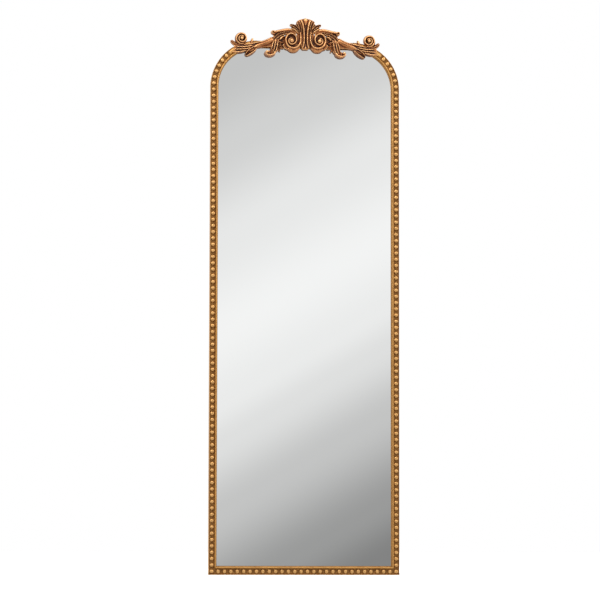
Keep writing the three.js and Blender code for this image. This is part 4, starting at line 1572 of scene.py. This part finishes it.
@dataclass(frozen=True)
class Casting:
    """One casting of the crest: its forms fused into one carved surface.

    Args:
        node: The node that it stands for.
        side: 1 for right or middle, -1 for left.
        carving: What it is carved of.
        moulding: The frame that it sits on.
        seat: Height of its back above the frame's back.
        relief: Its greatest thickness.
        fineness: Size of the steps in which the forms are fused.
        quick_fineness: A coarser step, for a quicker build; not used.
        shallow: Reach of the fine smoothing that finds the narrow hollows, in rounds.
        deep: Reach of the wide smoothing that finds the broad ones, in rounds.
    """

    node: str
    side: int
    carving: Carving
    moulding: Moulding
    seat: float = 14.0
    relief: float = 21.0
    fineness: float = 0.6
    quick_fineness: float = 1.0
    shallow: int = 10
    deep: int = 120

    def blank(self) -> Shell:
        """All its forms in one shell, in face coordinates."""
        shells = [form.shell(self.relief) for form in self.carving.forms()]
        return merged(shells).mirrored(self.side).moved(y=self.moulding.height, z=self.seat)

    def fused(self, place: Place) -> bpy.types.Mesh:
        """Fuses the forms into one surface.

        Args:
            place: Where face coordinates lie.

        Returns:
            The mesh, still rough.
        """
        rough = new_object(f"{self.node}_blank", self.blank(), place, None)
        fuse = rough.modifiers.new("fuse", "REMESH")
        fuse.mode = "VOXEL"
        fuse.voxel_size = self.fineness * MM
        fuse.adaptivity = 0.0
        view = bpy.context.evaluated_depsgraph_get()
        mesh = bpy.data.meshes.new_from_object(rough.evaluated_get(view))
        bpy.data.objects.remove(rough)
        return mesh

    def wear_and_shade(
        self, points: np.ndarray, edges: np.ndarray, normals: np.ndarray, back: float
    ) -> tuple[np.ndarray, np.ndarray]:
        """Measures how hollow and how proud each point lies, for the gilding's glazing and painted shade in
        the hollows and its rubbing and painted highlight on the crowns.

        Args:
            points: The surface's points, in metres.
            edges: Pairs of point numbers.
            normals: The surface's normals.
            back: World Y of the frame's back, in metres.

        Returns:
            Hollow values and crown values.
        """
        near, wide = (
            np.einsum("ij,ij->i", smoothed(points, edges, rounds) - points, normals) / MM
            for rounds in (self.shallow, self.deep)
        )
        low = (back - points[:, 1]) / MM - self.seat
        # Painted shade: points sunk low between the strokes that don't face the front are darkened as if in
        # shadow, and lose their crowns.
        sunk = np.clip(1 - low / (0.4 * self.relief), 0, 1) * (normals[:, 1] < 0.3)
        hollow = np.clip(near / 0.3, 0, 1) * 0.75 + np.clip(wide / 2.0, 0, 1) * 0.5 + sunk * 0.5
        crown = np.clip(-near / 0.3, 0, 1) * 0.6 + np.clip(-wide / 1.8, 0, 1) * 0.55
        return hollow, crown * (1 - sunk)

    def build(self, place: Place) -> None:
        """Fuses the forms, softens the surface, measures its hollows and crowns, and dresses it.

        Args:
            place: Where face coordinates lie.
        """
        mesh = self.fused(place)
        points, normals = np.empty((2, len(mesh.vertices) * 3))
        mesh.vertices.foreach_get("co", points)
        edges = np.empty(len(mesh.edges) * 2, np.int32)
        mesh.edges.foreach_get("vertices", edges)
        edges = edges.reshape(-1, 2)
        points = smoothed(points.reshape(-1, 3), edges, 3, 0.5)
        mesh.vertices.foreach_set("co", points.ravel())
        mesh.update()
        mesh.vertices.foreach_get("normal", normals)
        write_wear_and_shade(mesh, *self.wear_and_shade(points, edges, normals.reshape(-1, 3), place.back * MM))
        mesh.polygons.foreach_set("use_smooth", [True] * len(mesh.polygons))
        mesh.name = f"carved_{self.node}"
        WARDROBE.finish_piece(linked(mesh.name, mesh), "antique_gilt_casting", nodes=[self.node])


@dataclass(frozen=True)
class Crest:
    """The crest: seven castings on the top rail and the corners.

    Args:
        moulding: The frame that they sit on.
        palmette: The carving of the middle one.
        sides: The carvings of each side, by the end of their nodes' names.
    """

    moulding: Moulding
    palmette: Carving = Palmette()
    sides: tuple[tuple[str, Carving], ...] = (
        ("c_scroll", CScroll()), ("acanthus", Acanthus()), ("branch", Branch()),
    )

    def build(self, place: Place) -> None:
        """Builds and dresses the seven castings.

        Args:
            place: Where face coordinates lie.
        """
        Casting("crest_palmette", 1, self.palmette, self.moulding).build(place)
        for hand, side in SIDES:
            for part, carving in self.sides:
                Casting(f"{hand}_{part}", side, carving, self.moulding).build(place)


# ---------------------------------------------------------------- glazing


@dataclass(frozen=True)
class Glazing:
    """The glass, the backing board and the foam strips, whose solids are the real shapes.

    Args:
        slots: The nodes dressed in each slot.
    """

    slots: tuple[tuple[str, tuple[str, ...]], ...] = (
        ("silvered_glass", ("mirror_glass",)),
        ("fibreboard", ("backing_board",)),
        ("foam_tape", ("left_foam_strip", "right_foam_strip", "upper_foam_strip", "lower_foam_strip")),
    )

    def build(self) -> None:
        """Dresses the solids."""
        for slot, nodes in self.slots:
            for node in nodes:
                WARDROBE.dress(bpy.data.objects[node], slot)
                LOG.info("%s: dressed in %s", node, slot)


# ---------------------------------------------------------------- back hardware


def pressed(rings: Sequence[Sequence[Pair]], low: float, high: float, bevel: float = 0.25) -> Shell:
    """Cuts a piece from sheet, with eased edges.

    Args:
        rings: Its outline, and then its holes.
        low: Height of its back.
        high: Height of its front.
        bevel: How far its edges are eased.

    Returns:
        The closed shell.
    """
    curve = bpy.data.curves.new("sheet", "CURVE")
    curve.dimensions = "2D"
    curve.fill_mode = "BOTH"
    curve.extrude = (high - low) / 2 - bevel
    curve.bevel_depth = bevel
    curve.bevel_resolution = 2
    curve.offset = -bevel
    for ring in rings:
        line = curve.splines.new("POLY")
        line.points.add(len(ring) - 1)
        line.points.foreach_set("co", [value for x, y in ring for value in (x, y, 0.0, 1.0)])
        line.use_cyclic_u = True
    sheet = linked("sheet", curve)
    mesh = bpy.data.meshes.new_from_object(sheet.evaluated_get(bpy.context.evaluated_depsgraph_get()))
    points = np.array([tuple(v.co) for v in mesh.vertices])
    faces = [tuple(face.vertices) for face in mesh.polygons]
    for data in (sheet, curve, mesh):
        bpy.data.batch_remove([data])
    return Shell(points + np.array([0.0, 0.0, (low + high) / 2]), faces)


@dataclass(frozen=True)
class Spot:
    """Where a node of the back lies, in face coordinates.

    Args:
        x: Its middle across the frame.
        y: Its middle above the floor.
        half_x: Half its width.
        half_y: Half its height.
        low: Height of its back.
        high: Height of its front.
    """

    x: float
    y: float
    half_x: float
    half_y: float
    low: float
    high: float

    @classmethod
    def of(cls, node: str, place: Place) -> "Spot":
        """Reads a node's box.

        Args:
            node: Name of the node.
            place: Where face coordinates lie.

        Returns:
            Where the node lies.
        """
        a, b = (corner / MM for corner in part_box(node))
        middle, half = ((a.x + b.x) / 2, (a.z + b.z) / 2), ((b.x - a.x) / 2, (b.z - a.z) / 2)
        return cls(*middle, *half, place.back - b.y, place.back - a.y)


@dataclass
class ScrewHead:
    """A screw head with a cross recess, whose mesh is shared by all screws of its kind.

    Args:
        name: Name of the kind.
        radius: Radius of the head.
        height: Height of the head.
        arm: Length of the recess's arms.
        slot: Half width of the arms.
        depth: Depth of the recess.
        mesh: The shared mesh, once it is made.
    """

    name: str
    radius: float
    height: float
    arm: float = 2.0
    slot: float = 0.5
    depth: float = 1.2
    mesh: bpy.types.Mesh | None = None

    def shape(self) -> Shell:
        """Makes the head, facing -z, with its seat at z = 0.

        Returns:
            The closed shell.
        """
        reaches = np.concatenate([np.linspace(0.05, self.arm, 16), np.linspace(self.arm, self.radius, 7)[1:]])
        turns = np.linspace(0, 2 * math.pi, 64, endpoint=False)
        rings = []
        for reach in reaches:
            x, y = reach * np.cos(turns), reach * np.sin(turns)
            dome = self.height * (1 - 0.75 * (reach / self.radius) ** 4)
            along_arm, beside = np.maximum(np.abs(x), np.abs(y)), np.minimum(np.abs(x), np.abs(y))
            taper = 1.25 - along_arm / self.arm
            cut = np.clip((self.slot * taper + 0.2 - beside) / 0.2, 0, 1)
            rings.append(np.stack([x, y, -(dome - self.depth * np.clip(taper, 0, 1) * cut)], axis=1))
        rings.append(np.stack([x, y, np.zeros_like(x)], axis=1))
        return loft(np.array(rings))

    def place_at(self, name: str, at: Point, place: Place, turn: float) -> bpy.types.Object:
        """Places a screw of this kind.

        Args:
            name: Name of the screw.
            at: Where the middle of its seat lies.
            place: Where face coordinates lie.
            turn: Angle of its recess, in degrees.

        Returns:
            The screw's object.
        """
        if self.mesh is None:
            model = new_object(self.name, self.shape(), Place(0.0), 40.0)
            self.mesh = model.data
            bpy.data.objects.remove(model)
        screw = linked(name, self.mesh)
        screw.location = place.world(np.array([at]))[0]
        screw.rotation_euler = (0.0, math.radians(turn), 0.0)
        return screw


@dataclass
class Bench:
    """What the pieces of the back share: their place, their screws and how they are added.

    Args:
        place: Where face coordinates lie.
        pan: The screws of the buttons and hangers.
        flush: The screws of the plates.
        hole: Radius of the hole that a pan screw passes.
        gap: Gap between a pan head and the sheet under it.
        turn: How far each recess is turned from the last one's, in degrees.
        placed: How many screws are in.
    """

    place: Place
    pan: ScrewHead = field(default_factory=lambda: ScrewHead("pan_screw", 3.4, 1.6))
    flush: ScrewHead = field(default_factory=lambda: ScrewHead("flush_screw", 2.9, 0.45, 1.7, 0.42))
    hole: float = 2.2
    gap: float = 0.1
    turn: float = 47.0
    placed: int = 0

    def spot(self, node: str) -> Spot:
        """Where a node lies."""
        return Spot.of(node, self.place)

    def screw_hole(self, spot: Spot) -> list[Pair]:
        """The hole that a node's screw passes."""
        return arc((spot.x, spot.y), self.hole, 0, 345, 24)

    def add(
        self, way: str, node: str, shell: Shell, slot: str = "zinc_steel", body: str = FRAME_BODY
    ) -> None:
        """Adds a dressed piece that stands for a node.

        Args:
            way: How it is made, which starts its name.
            node: The node that it replaces.
            shell: What it is made of.
            slot: The record's material slot.
            body: The body that it moves with.
        """
        WARDROBE.finish_piece(new_object(f"{way}_{node}", shell, self.place, 30.0), slot, body, [node])

    def screw(self, head: ScrewHead, name: str, at: Point, nodes: Iterable[str] = ()) -> None:
        """Adds a screw, each with its recess at another angle.

        Args:
            head: The kind of screw.
            name: Name of the screw.
            at: Where the middle of its seat lies.
            nodes: The node that it replaces, if it has one.
        """
        self.placed += 1
        piece = head.place_at(name, at, self.place, self.turn * self.placed % 90)
        WARDROBE.finish_piece(piece, "zinc_steel", nodes=nodes)

    def pan_screw(self, node: str, seat: float) -> None:
        """Adds a pan screw that stands for a node, over sheet whose back is at a height."""
        spot = self.spot(node)
        self.screw(self.pan, f"pan_{node}", (spot.x, spot.y, seat - self.gap), [node])

    def flush_screws(self, node: str, places: Iterable[Pair], seat: float) -> None:
        """Adds a plate's flush screws, numbered in order, at places on its back."""
        for number, (x, y) in enumerate(places, 1):
            self.screw(self.flush, f"flush_{node}_screw_{number}", (x, y, seat))


@dataclass(frozen=True)
class TurnButton:
    """A turn button, which points inward over the board, and its screw.

    Args:
        hand: The side that it is on.
        number: Its number, from the floor up.
    """

    hand: str
    number: int

    def build(self, bench: Bench) -> None:
        """Builds the button and its screw.

        Args:
            bench: What the pieces of the back share.
        """
        node, pin = f"{self.hand}_turn_button_{self.number}", f"{self.hand}_button_screw_{self.number}"
        spot = bench.spot(node)
        radius = spot.half_y
        ends = spot.half_x - radius
        outline = arc((spot.x + ends, spot.y), radius, -90, 90)
        outline += arc((spot.x - ends, spot.y), radius, 90, 270)
        shell = pressed([outline, bench.screw_hole(bench.spot(pin))], spot.low, spot.high)
        bench.add("pressed", node, shell, body=f"{self.hand}_button_{self.number}")
        bench.pan_screw(pin, spot.low)


@dataclass(frozen=True)
class StrapHanger:
    """A strap hanger, whose lower end is rolled round the bar of its D-ring, with its two screws.

    Args:
        hand: The side that it is on.
        sheet: Thickness of the strap.
        barrel: Outer radius of the rolled end.
        ease: How far the barrel's rims are eased.
        rounding: Radius of the strap's upper corners.
        wire: Half thickness of the ring's wire.
        bend: Radius of the ring's shoulders.
    """

    hand: str
    sheet: float = 1.2
    barrel: float = 2.65
    ease: float = 0.2
    rounding: float = 3.2
    wire: float = 1.1
    bend: float = 2.2

    def rolled(self, left: float, right: float, axis_y: float, axis_z: float) -> Shell:
        """Rolls the strap's lower end.

        Args:
            left: Its left edge.
            right: Its right edge.
            axis_y: Height of the barrel's axis above the floor.
            axis_z: Height of the axis above the frame's back.

        Returns:
            The open barrel as a closed shell.
        """
        outer, inner, ease = self.barrel, self.barrel - self.sheet, self.ease
        section = (
            (outer, left + ease), (outer, right - ease), (outer - ease, right), (inner + ease / 2, right),
            (inner, right - ease), (inner, left + ease), (inner + ease / 2, left), (outer - ease, left),
        )
        rings = [
            [(x, axis_y - reach * math.cos(turn), axis_z + reach * math.sin(turn)) for reach, x in section]
            for turn in np.radians(np.linspace(90, 390, 36))
        ]
        return loft(np.array(rings))

    def ring(self, spot: Spot, axis_y: float, axis_z: float) -> Shell:
        """Bends the D-ring, with its bar in the barrel and its bow below.

        Args:
            spot: Where the ring lies.
            axis_y: Height of the bar's axis above the floor.
            axis_z: Height of the axis above the frame's back.

        Returns:
            The wire as a closed shell.
        """
        half, bend = spot.half_x - self.wire, self.bend
        leg = 2 * spot.half_y - 2 * self.wire - half
        path = [(spot.x + t, axis_y) for t in np.linspace(bend - half, half - bend, 14)]
        path += arc((spot.x + half - bend, axis_y - bend), bend, 82, 0, 8)
        path += arc((spot.x, axis_y - leg), half, 0, -180, 40)
        path += arc((spot.x - half + bend, axis_y - bend), bend, 180, 98, 8)
        line = np.array(path)
        ahead = np.roll(line, -1, axis=0) - np.roll(line, 1, axis=0)
        ahead /= np.linalg.norm(ahead, axis=1)[:, None]
        turns = np.linspace(0, 2 * math.pi, 16, endpoint=False)
        rings = np.empty((len(line), len(turns), 3))
        rings[..., 0] = line[:, :1] + self.wire * ahead[:, 1:] * np.cos(turns)
        rings[..., 1] = line[:, 1:] - self.wire * ahead[:, :1] * np.cos(turns)
        rings[..., 2] = axis_z + self.wire * np.sin(turns)
        return loft(rings, closed=True)

    def build(self, bench: Bench) -> None:
        """Builds the strap, its screws and its ring.

        Args:
            bench: What the pieces of the back share.
        """
        node, ring = f"{self.hand}_strap_hanger", f"{self.hand}_d_ring"
        pins = [f"{self.hand}_strap_screw_{number}" for number in (1, 2)]
        spot, rounding = bench.spot(node), self.rounding
        left, right, top = spot.x - spot.half_x, spot.x + spot.half_x, spot.y + spot.half_y
        axis_y, axis_z = spot.y - spot.half_y + self.barrel, spot.high - self.barrel
        outline = [(left, axis_y), (right, axis_y)]
        outline += arc((right - rounding, top - rounding), rounding, 0, 90, 8)
        outline += arc((left + rounding, top - rounding), rounding, 90, 180, 8)
        holes = [bench.screw_hole(bench.spot(pin)) for pin in pins]
        strap = pressed([outline, *holes], spot.high - self.sheet, spot.high, 0.2)
        bench.add("pressed", node, merged([strap, self.rolled(left, right, axis_y, axis_z)]))
        for pin in pins:
            bench.pan_screw(pin, spot.high - self.sheet)
        bench.add("wire", ring, self.ring(bench.spot(ring), axis_y, axis_z), body=f"{self.hand}_ring")


@dataclass(frozen=True)
class CornerPlate:
    """An L-shaped plate over a mitre, with two flush screws in each arm and one in its corner.

    Args:
        hand: The side that it is on.
        side: 1 for the right, -1 for the left.
        width: Width of its arms.
        reaches: Places of the arms' screws, from the outer corner.
    """

    hand: str
    side: int
    width: float = 10.0
    reaches: Pair = (26, 54)

    def build(self, bench: Bench) -> None:
        """Builds the plate and its screws.

        Args:
            bench: What the pieces of the back share.
        """
        node, width = f"{self.hand}_corner_plate", self.width
        spot = bench.spot(node)
        out, low, top = spot.x + self.side * spot.half_x, spot.y - spot.half_y, spot.y + spot.half_y
        inner, far = out - self.side * width, spot.x - self.side * spot.half_x
        outline = [(out, low), (out, top), (inner, top), (inner, low + width), (far, low + width), (far, low)]
        bench.add("pressed", node, pressed([outline], spot.low, spot.high))
        middle = width / 2
        places = [(out - self.side * middle, low + rise) for rise in self.reaches]
        places += [(out - self.side * reach, low + middle) for reach in (*self.reaches, middle)]
        bench.flush_screws(node, places, spot.low)


@dataclass(frozen=True)
class JointPlate:
    """A straight plate over an upper joint, with two flush screws on each side of the joint.

    Args:
        node: The node that it replaces.
        rounding: Radius of its corners.
        shares: Places of its screws, from its middle, as shares of half its length.
    """

    node: str
    rounding: float = 2.0
    shares: tuple[float, ...] = (-0.78, -0.3, 0.3, 0.78)

    def build(self, bench: Bench) -> None:
        """Builds the plate and its screws.

        Args:
            bench: What the pieces of the back share.
        """
        spot = bench.spot(self.node)
        outline = []
        for way_x, way_y, start in ((1, -1, -90), (1, 1, 0), (-1, 1, 90), (-1, -1, 180)):
            x = spot.x + way_x * (spot.half_x - self.rounding)
            y = spot.y + way_y * (spot.half_y - self.rounding)
            outline += arc((x, y), self.rounding, start, start + 90, 6)
        bench.add("pressed", self.node, pressed([outline], spot.low, spot.high))
        if spot.half_y > spot.half_x:
            places = [(spot.x, spot.y + share * spot.half_y) for share in self.shares]
        else:
            places = [(spot.x + share * spot.half_x, spot.y) for share in self.shares]
        bench.flush_screws(self.node, places, spot.low)


@dataclass(frozen=True)
class Bumper:
    """A moulded bumper with a rounded rim and a dimple.

    Args:
        node: The node that it replaces.
        rim: Radius of its rounded rim.
        ease: How far its seat's edge is eased.
        dimple: Radius and depth of points in the dimple.
    """

    node: str
    rim: float = 1.9
    ease: float = 0.3
    dimple: tuple[Pair, ...] = ((0.3, 1.1), (1.3, 1.0), (1.7, 0.25), (2.2, 0.0))

    def build(self, bench: Bench) -> None:
        """Builds the bumper.

        Args:
            bench: What the pieces of the back share.
        """
        spot = bench.spot(self.node)
        radius, back, rim = spot.half_x, spot.low, self.rim
        profile = [(r, back + depth) for r, depth in self.dimple]
        for turn in np.linspace(0.1, 1.57, 9):
            profile.append((radius - rim + rim * math.sin(turn), back + rim - rim * math.cos(turn)))
        profile += [(radius, spot.high - self.ease), (radius - self.ease, spot.high)]
        bench.add("moulded", self.node, turned(profile, 48).moved(spot.x, spot.y), "bumper_rubber")


@dataclass(frozen=True)
class Rear:
    """The steel and rubber pieces of the back.

    Args:
        buttons: Numbers of the turn buttons on each side.
        plates: Ends of the joint plates' node names.
        bumpers: Ends of the bumpers' node names.
    """

    buttons: tuple[int, ...] = (1, 2, 3)
    plates: tuple[str, ...] = ("stile_joint_plate", "rail_joint_plate")
    bumpers: tuple[str, ...] = ("lower_bumper", "upper_bumper")

    def build(self, place: Place) -> None:
        """Builds everything on the back, side by side.

        Args:
            place: Where face coordinates lie.
        """
        bench = Bench(place)
        for hand, side in SIDES:
            pieces = [TurnButton(hand, number) for number in self.buttons]
            pieces += [StrapHanger(hand), CornerPlate(hand, side)]
            pieces += [JointPlate(f"{hand}_{plate}") for plate in self.plates]
            pieces += [Bumper(f"{hand}_{bumper}") for bumper in self.bumpers]
            for piece in pieces:
                piece.build(bench)


# ---------------------------------------------------------------- studio


@dataclass(frozen=True)
class Lamp:
    """A soft square lamp that faces a point.

    Args:
        name: Name of the lamp.
        at: Where it hangs, in metres.
        size: Length of its side.
        power: Its power in watts.
        aim: The point that it faces.
    """

    name: str
    at: Point
    size: float
    power: float
    aim: Point = (0.0, 0.0, 1.2)

    def build(self) -> None:
        """Hangs the lamp."""
        data = bpy.data.lights.new(self.name, "AREA")
        data.size = self.size
        data.energy = self.power
        lamp = linked(self.name, data)
        lamp.location = self.at
        lamp.rotation_euler = (Vector(self.aim) - Vector(self.at)).to_track_quat("-Z", "Y").to_euler()


@dataclass(frozen=True)
class Camera:
    """The camera, low and a little to the left of the mirror.

    Args:
        azimuth: How far to the left of the mirror's axis it stands, in degrees.
        distance: Distance to the middle of the mirror, in metres, seen from above.
        eye_height: Its height above the floor.
        aim: The point that it looks at.
        roll: How far it is turned about its axis, in degrees.
        focal: Focal length in pixels.
        picture: Width of the picture in pixels.
        sensor: Width of the sensor in millimetres.
        reach: How far it sees, in metres.
    """

    azimuth: float = 7.372
    distance: float = 8.6888
    eye_height: float = 0.078
    aim: Point = (-0.01379, 0.0, 0.80185)
    roll: float = 0.116
    focal: float = 2976.8
    picture: int = 600
    sensor: float = 36.0
    reach: float = 200.0

    def build(self) -> None:
        """Places the camera."""
        data = bpy.data.cameras.new("camera")
        data.sensor_fit = "HORIZONTAL"
        data.sensor_width = self.sensor
        data.lens = self.focal * self.sensor / self.picture
        data.clip_end = self.reach
        camera = linked("camera", data)
        turn, roll = math.radians(self.azimuth), math.radians(self.roll)
        at = Vector((-self.distance * math.sin(turn), -self.distance * math.cos(turn), self.eye_height))
        look = (Vector(self.aim) - at).to_track_quat("-Z", "Y").to_matrix().to_4x4()
        camera.matrix_world = Matrix.Translation(at) @ look @ Matrix.Rotation(roll, 4, "Z")
        bpy.context.scene.camera = camera


@dataclass(frozen=True)
class Floor:
    """A wide pale floor that takes the mirror's shadow, and that the glass and the gilding don't look at.

    Args:
        reach: How far it runs to each side, in metres.
        grey: Its grey.
        lift_near: How brightly it glows beside the mirror.
        lift_far: How brightly it glows far away.
        near: Distance from the mirror's middle at which the glow starts to grow.
        far: Distance at which it is full.
    """

    reach: float = 40.0
    grey: float = 0.93
    lift_near: float = 0.3
    lift_far: float = 0.75
    near: float = 0.3
    far: float = 2.2

    def build(self) -> None:
        """Lays the floor."""
        mesh = bpy.data.meshes.new("studio_floor")
        corners = [(x * self.reach, y * self.reach, 0) for x, y in ((-1, -1), (1, -1), (1, 1), (-1, 1))]
        mesh.from_pydata(corners, [], [(0, 1, 2, 3)])
        floor = linked("studio_floor", mesh)
        floor.visible_glossy = False
        material, graph, shader = new_material("studio_floor")
        graph.feed(shader.inputs["Base Color"], (self.grey, self.grey, self.grey))
        graph.feed(shader.inputs["Emission Color"], (1.0, 1.0, 1.0))
        shader.inputs["Roughness"].default_value = 0.9
        away = graph.node("VectorMath", operation="LENGTH")
        graph.feed(away.inputs[0], graph.object_space())
        lift = graph.span(away.outputs["Value"], self.near, self.far, self.lift_near, self.lift_far)
        seen = graph.node("LightPath").outputs["Is Camera Ray"]
        graph.feed(shader.inputs["Emission Strength"], graph.math("MULTIPLY", seen, lift))
        mesh.materials.append(material)


@dataclass(frozen=True)
class Screen:
    """A grey screen far behind the camera, which only the mirror and the gilding look at.

    Args:
        far: Its place on the Y axis, in metres.
        wide: Half its width.
        tall: Height of its top.
        low: Depth of its foot under the floor.
        lean: How much its shades climb across it.
        foot: Depth under the floor of the level that the foot of the glass shows.
        rise: Height from there to the level that the head of the glass shows.
        margin: How far the shades run on below the foot, as a share of that height.
        run: The whole run of the shades, as a share of that height.
        glow: Its brightness.
        shades: Levels between the foot at 0 and the head at 1, with the grey of each.
    """

    far: float = -10.0
    wide: float = 5.0
    tall: float = 6.0
    low: float = 4.0
    lean: float = 0.585
    foot: float = 0.849
    rise: float = 2.16
    margin: float = 0.1
    run: float = 1.8
    glow: float = 1.06
    shades: tuple[tuple[float, int], ...] = (
        (-0.08, 130), (0.07, 153), (0.33, 194), (0.525, 221), (0.64, 233), (0.85, 241), (1.115, 230),
        (1.385, 207), (1.6, 193),
    )

    def build(self) -> None:
        """Hangs the screen and shades it."""
        mesh = bpy.data.meshes.new("studio_screen")
        left, right, low, tall = -self.wide, self.wide, -self.low, self.tall
        corners = [(x, self.far, z) for x, z in ((left, low), (right, low), (right, tall), (left, tall))]
        mesh.from_pydata(corners, [], [(0, 1, 2, 3)])
        screen = linked("studio_screen", mesh)
        for ray in ("camera", "diffuse", "transmission", "volume_scatter", "shadow"):
            setattr(screen, f"visible_{ray}", False)
        material, graph, _ = new_material("studio_screen")
        split = graph.node("SeparateXYZ")
        graph.feed(split.inputs[0], graph.object_space())
        level = graph.math("MULTIPLY_ADD", split.outputs[0], -self.lean, split.outputs[2])
        level = graph.math("MULTIPLY_ADD", level, 1 / self.rise, self.foot / self.rise)
        place = graph.math("MULTIPLY_ADD", level, 1 / self.run, self.margin / self.run, clamp=True)
        stops = [((level + self.margin) / self.run, rgb(grey, grey, grey)) for level, grey in self.shades]
        glow = graph.node("Emission")
        graph.feed(glow.inputs["Color"], graph.ramp(place, stops))
        glow.inputs["Strength"].default_value = self.glow
        graph.feed(graph.tree.nodes["Material Output"].inputs["Surface"], glow.outputs[0])
        mesh.materials.append(material)


@dataclass(frozen=True)
class Studio:
    """A plain white studio.

    Args:
        dim: Strength of the room as a light, against 1 where the camera, metal and glass look.
        floor: Its floor.
        screen: The screen that the glass looks at.
        lamps: Its lamps.
        camera: Its camera.
    """

    dim: float = 0.45
    floor: Floor = Floor()
    screen: Screen = Screen()
    lamps: tuple[Lamp, ...] = (
        Lamp("key", (-1.9, -2.6, 3.3), 1.6, 66.0),
        Lamp("fill", (2.6, -2.8, 2.4), 2.4, 34.0),
        Lamp("top", (0.3, -0.9, 3.6), 1.4, 26.0, (0.0, 0.0, 1.5)),
        Lamp("rear", (2.2, 2.6, 2.8), 2.0, 50.0, (0.0, 0.0, 0.9)),
    )
    camera: Camera = Camera()

    def room(self) -> None:
        """Fills the world with white."""
        world = bpy.data.worlds.new("studio")
        bpy.context.scene.world = world
        world.use_nodes = True
        world.node_tree.nodes.clear()
        graph = Graph(world.node_tree)
        path = graph.node("LightPath").outputs
        seen = graph.math("MAXIMUM", path["Is Camera Ray"], path["Is Glossy Ray"])
        seen = graph.math("MAXIMUM", seen, path["Is Transmission Ray"])
        white = graph.node("Background")
        graph.feed(white.inputs["Color"], (1.0, 1.0, 1.0))
        graph.feed(white.inputs["Strength"], graph.math("MULTIPLY_ADD", seen, 1 - self.dim, self.dim))
        graph.feed(graph.node("OutputWorld").inputs["Surface"], white.outputs[0])

    def build(self) -> None:
        """Builds the room, its lamps and the camera."""
        bpy.context.scene.view_settings.view_transform = "Standard"
        self.room()
        for part in (self.floor, self.screen, *self.lamps, self.camera):
            part.build()


def main() -> None:
    """Builds the mirror round its frame."""
    logging.basicConfig(level=logging.INFO, format="%(message)s")
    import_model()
    place, moulding = Place.from_frame(), Moulding()
    moulding.build(place)
    Crest(moulding).build(place)
    Glazing().build()
    Rear().build(place)
    Studio().build()


if __name__ == "__main__":
    main()
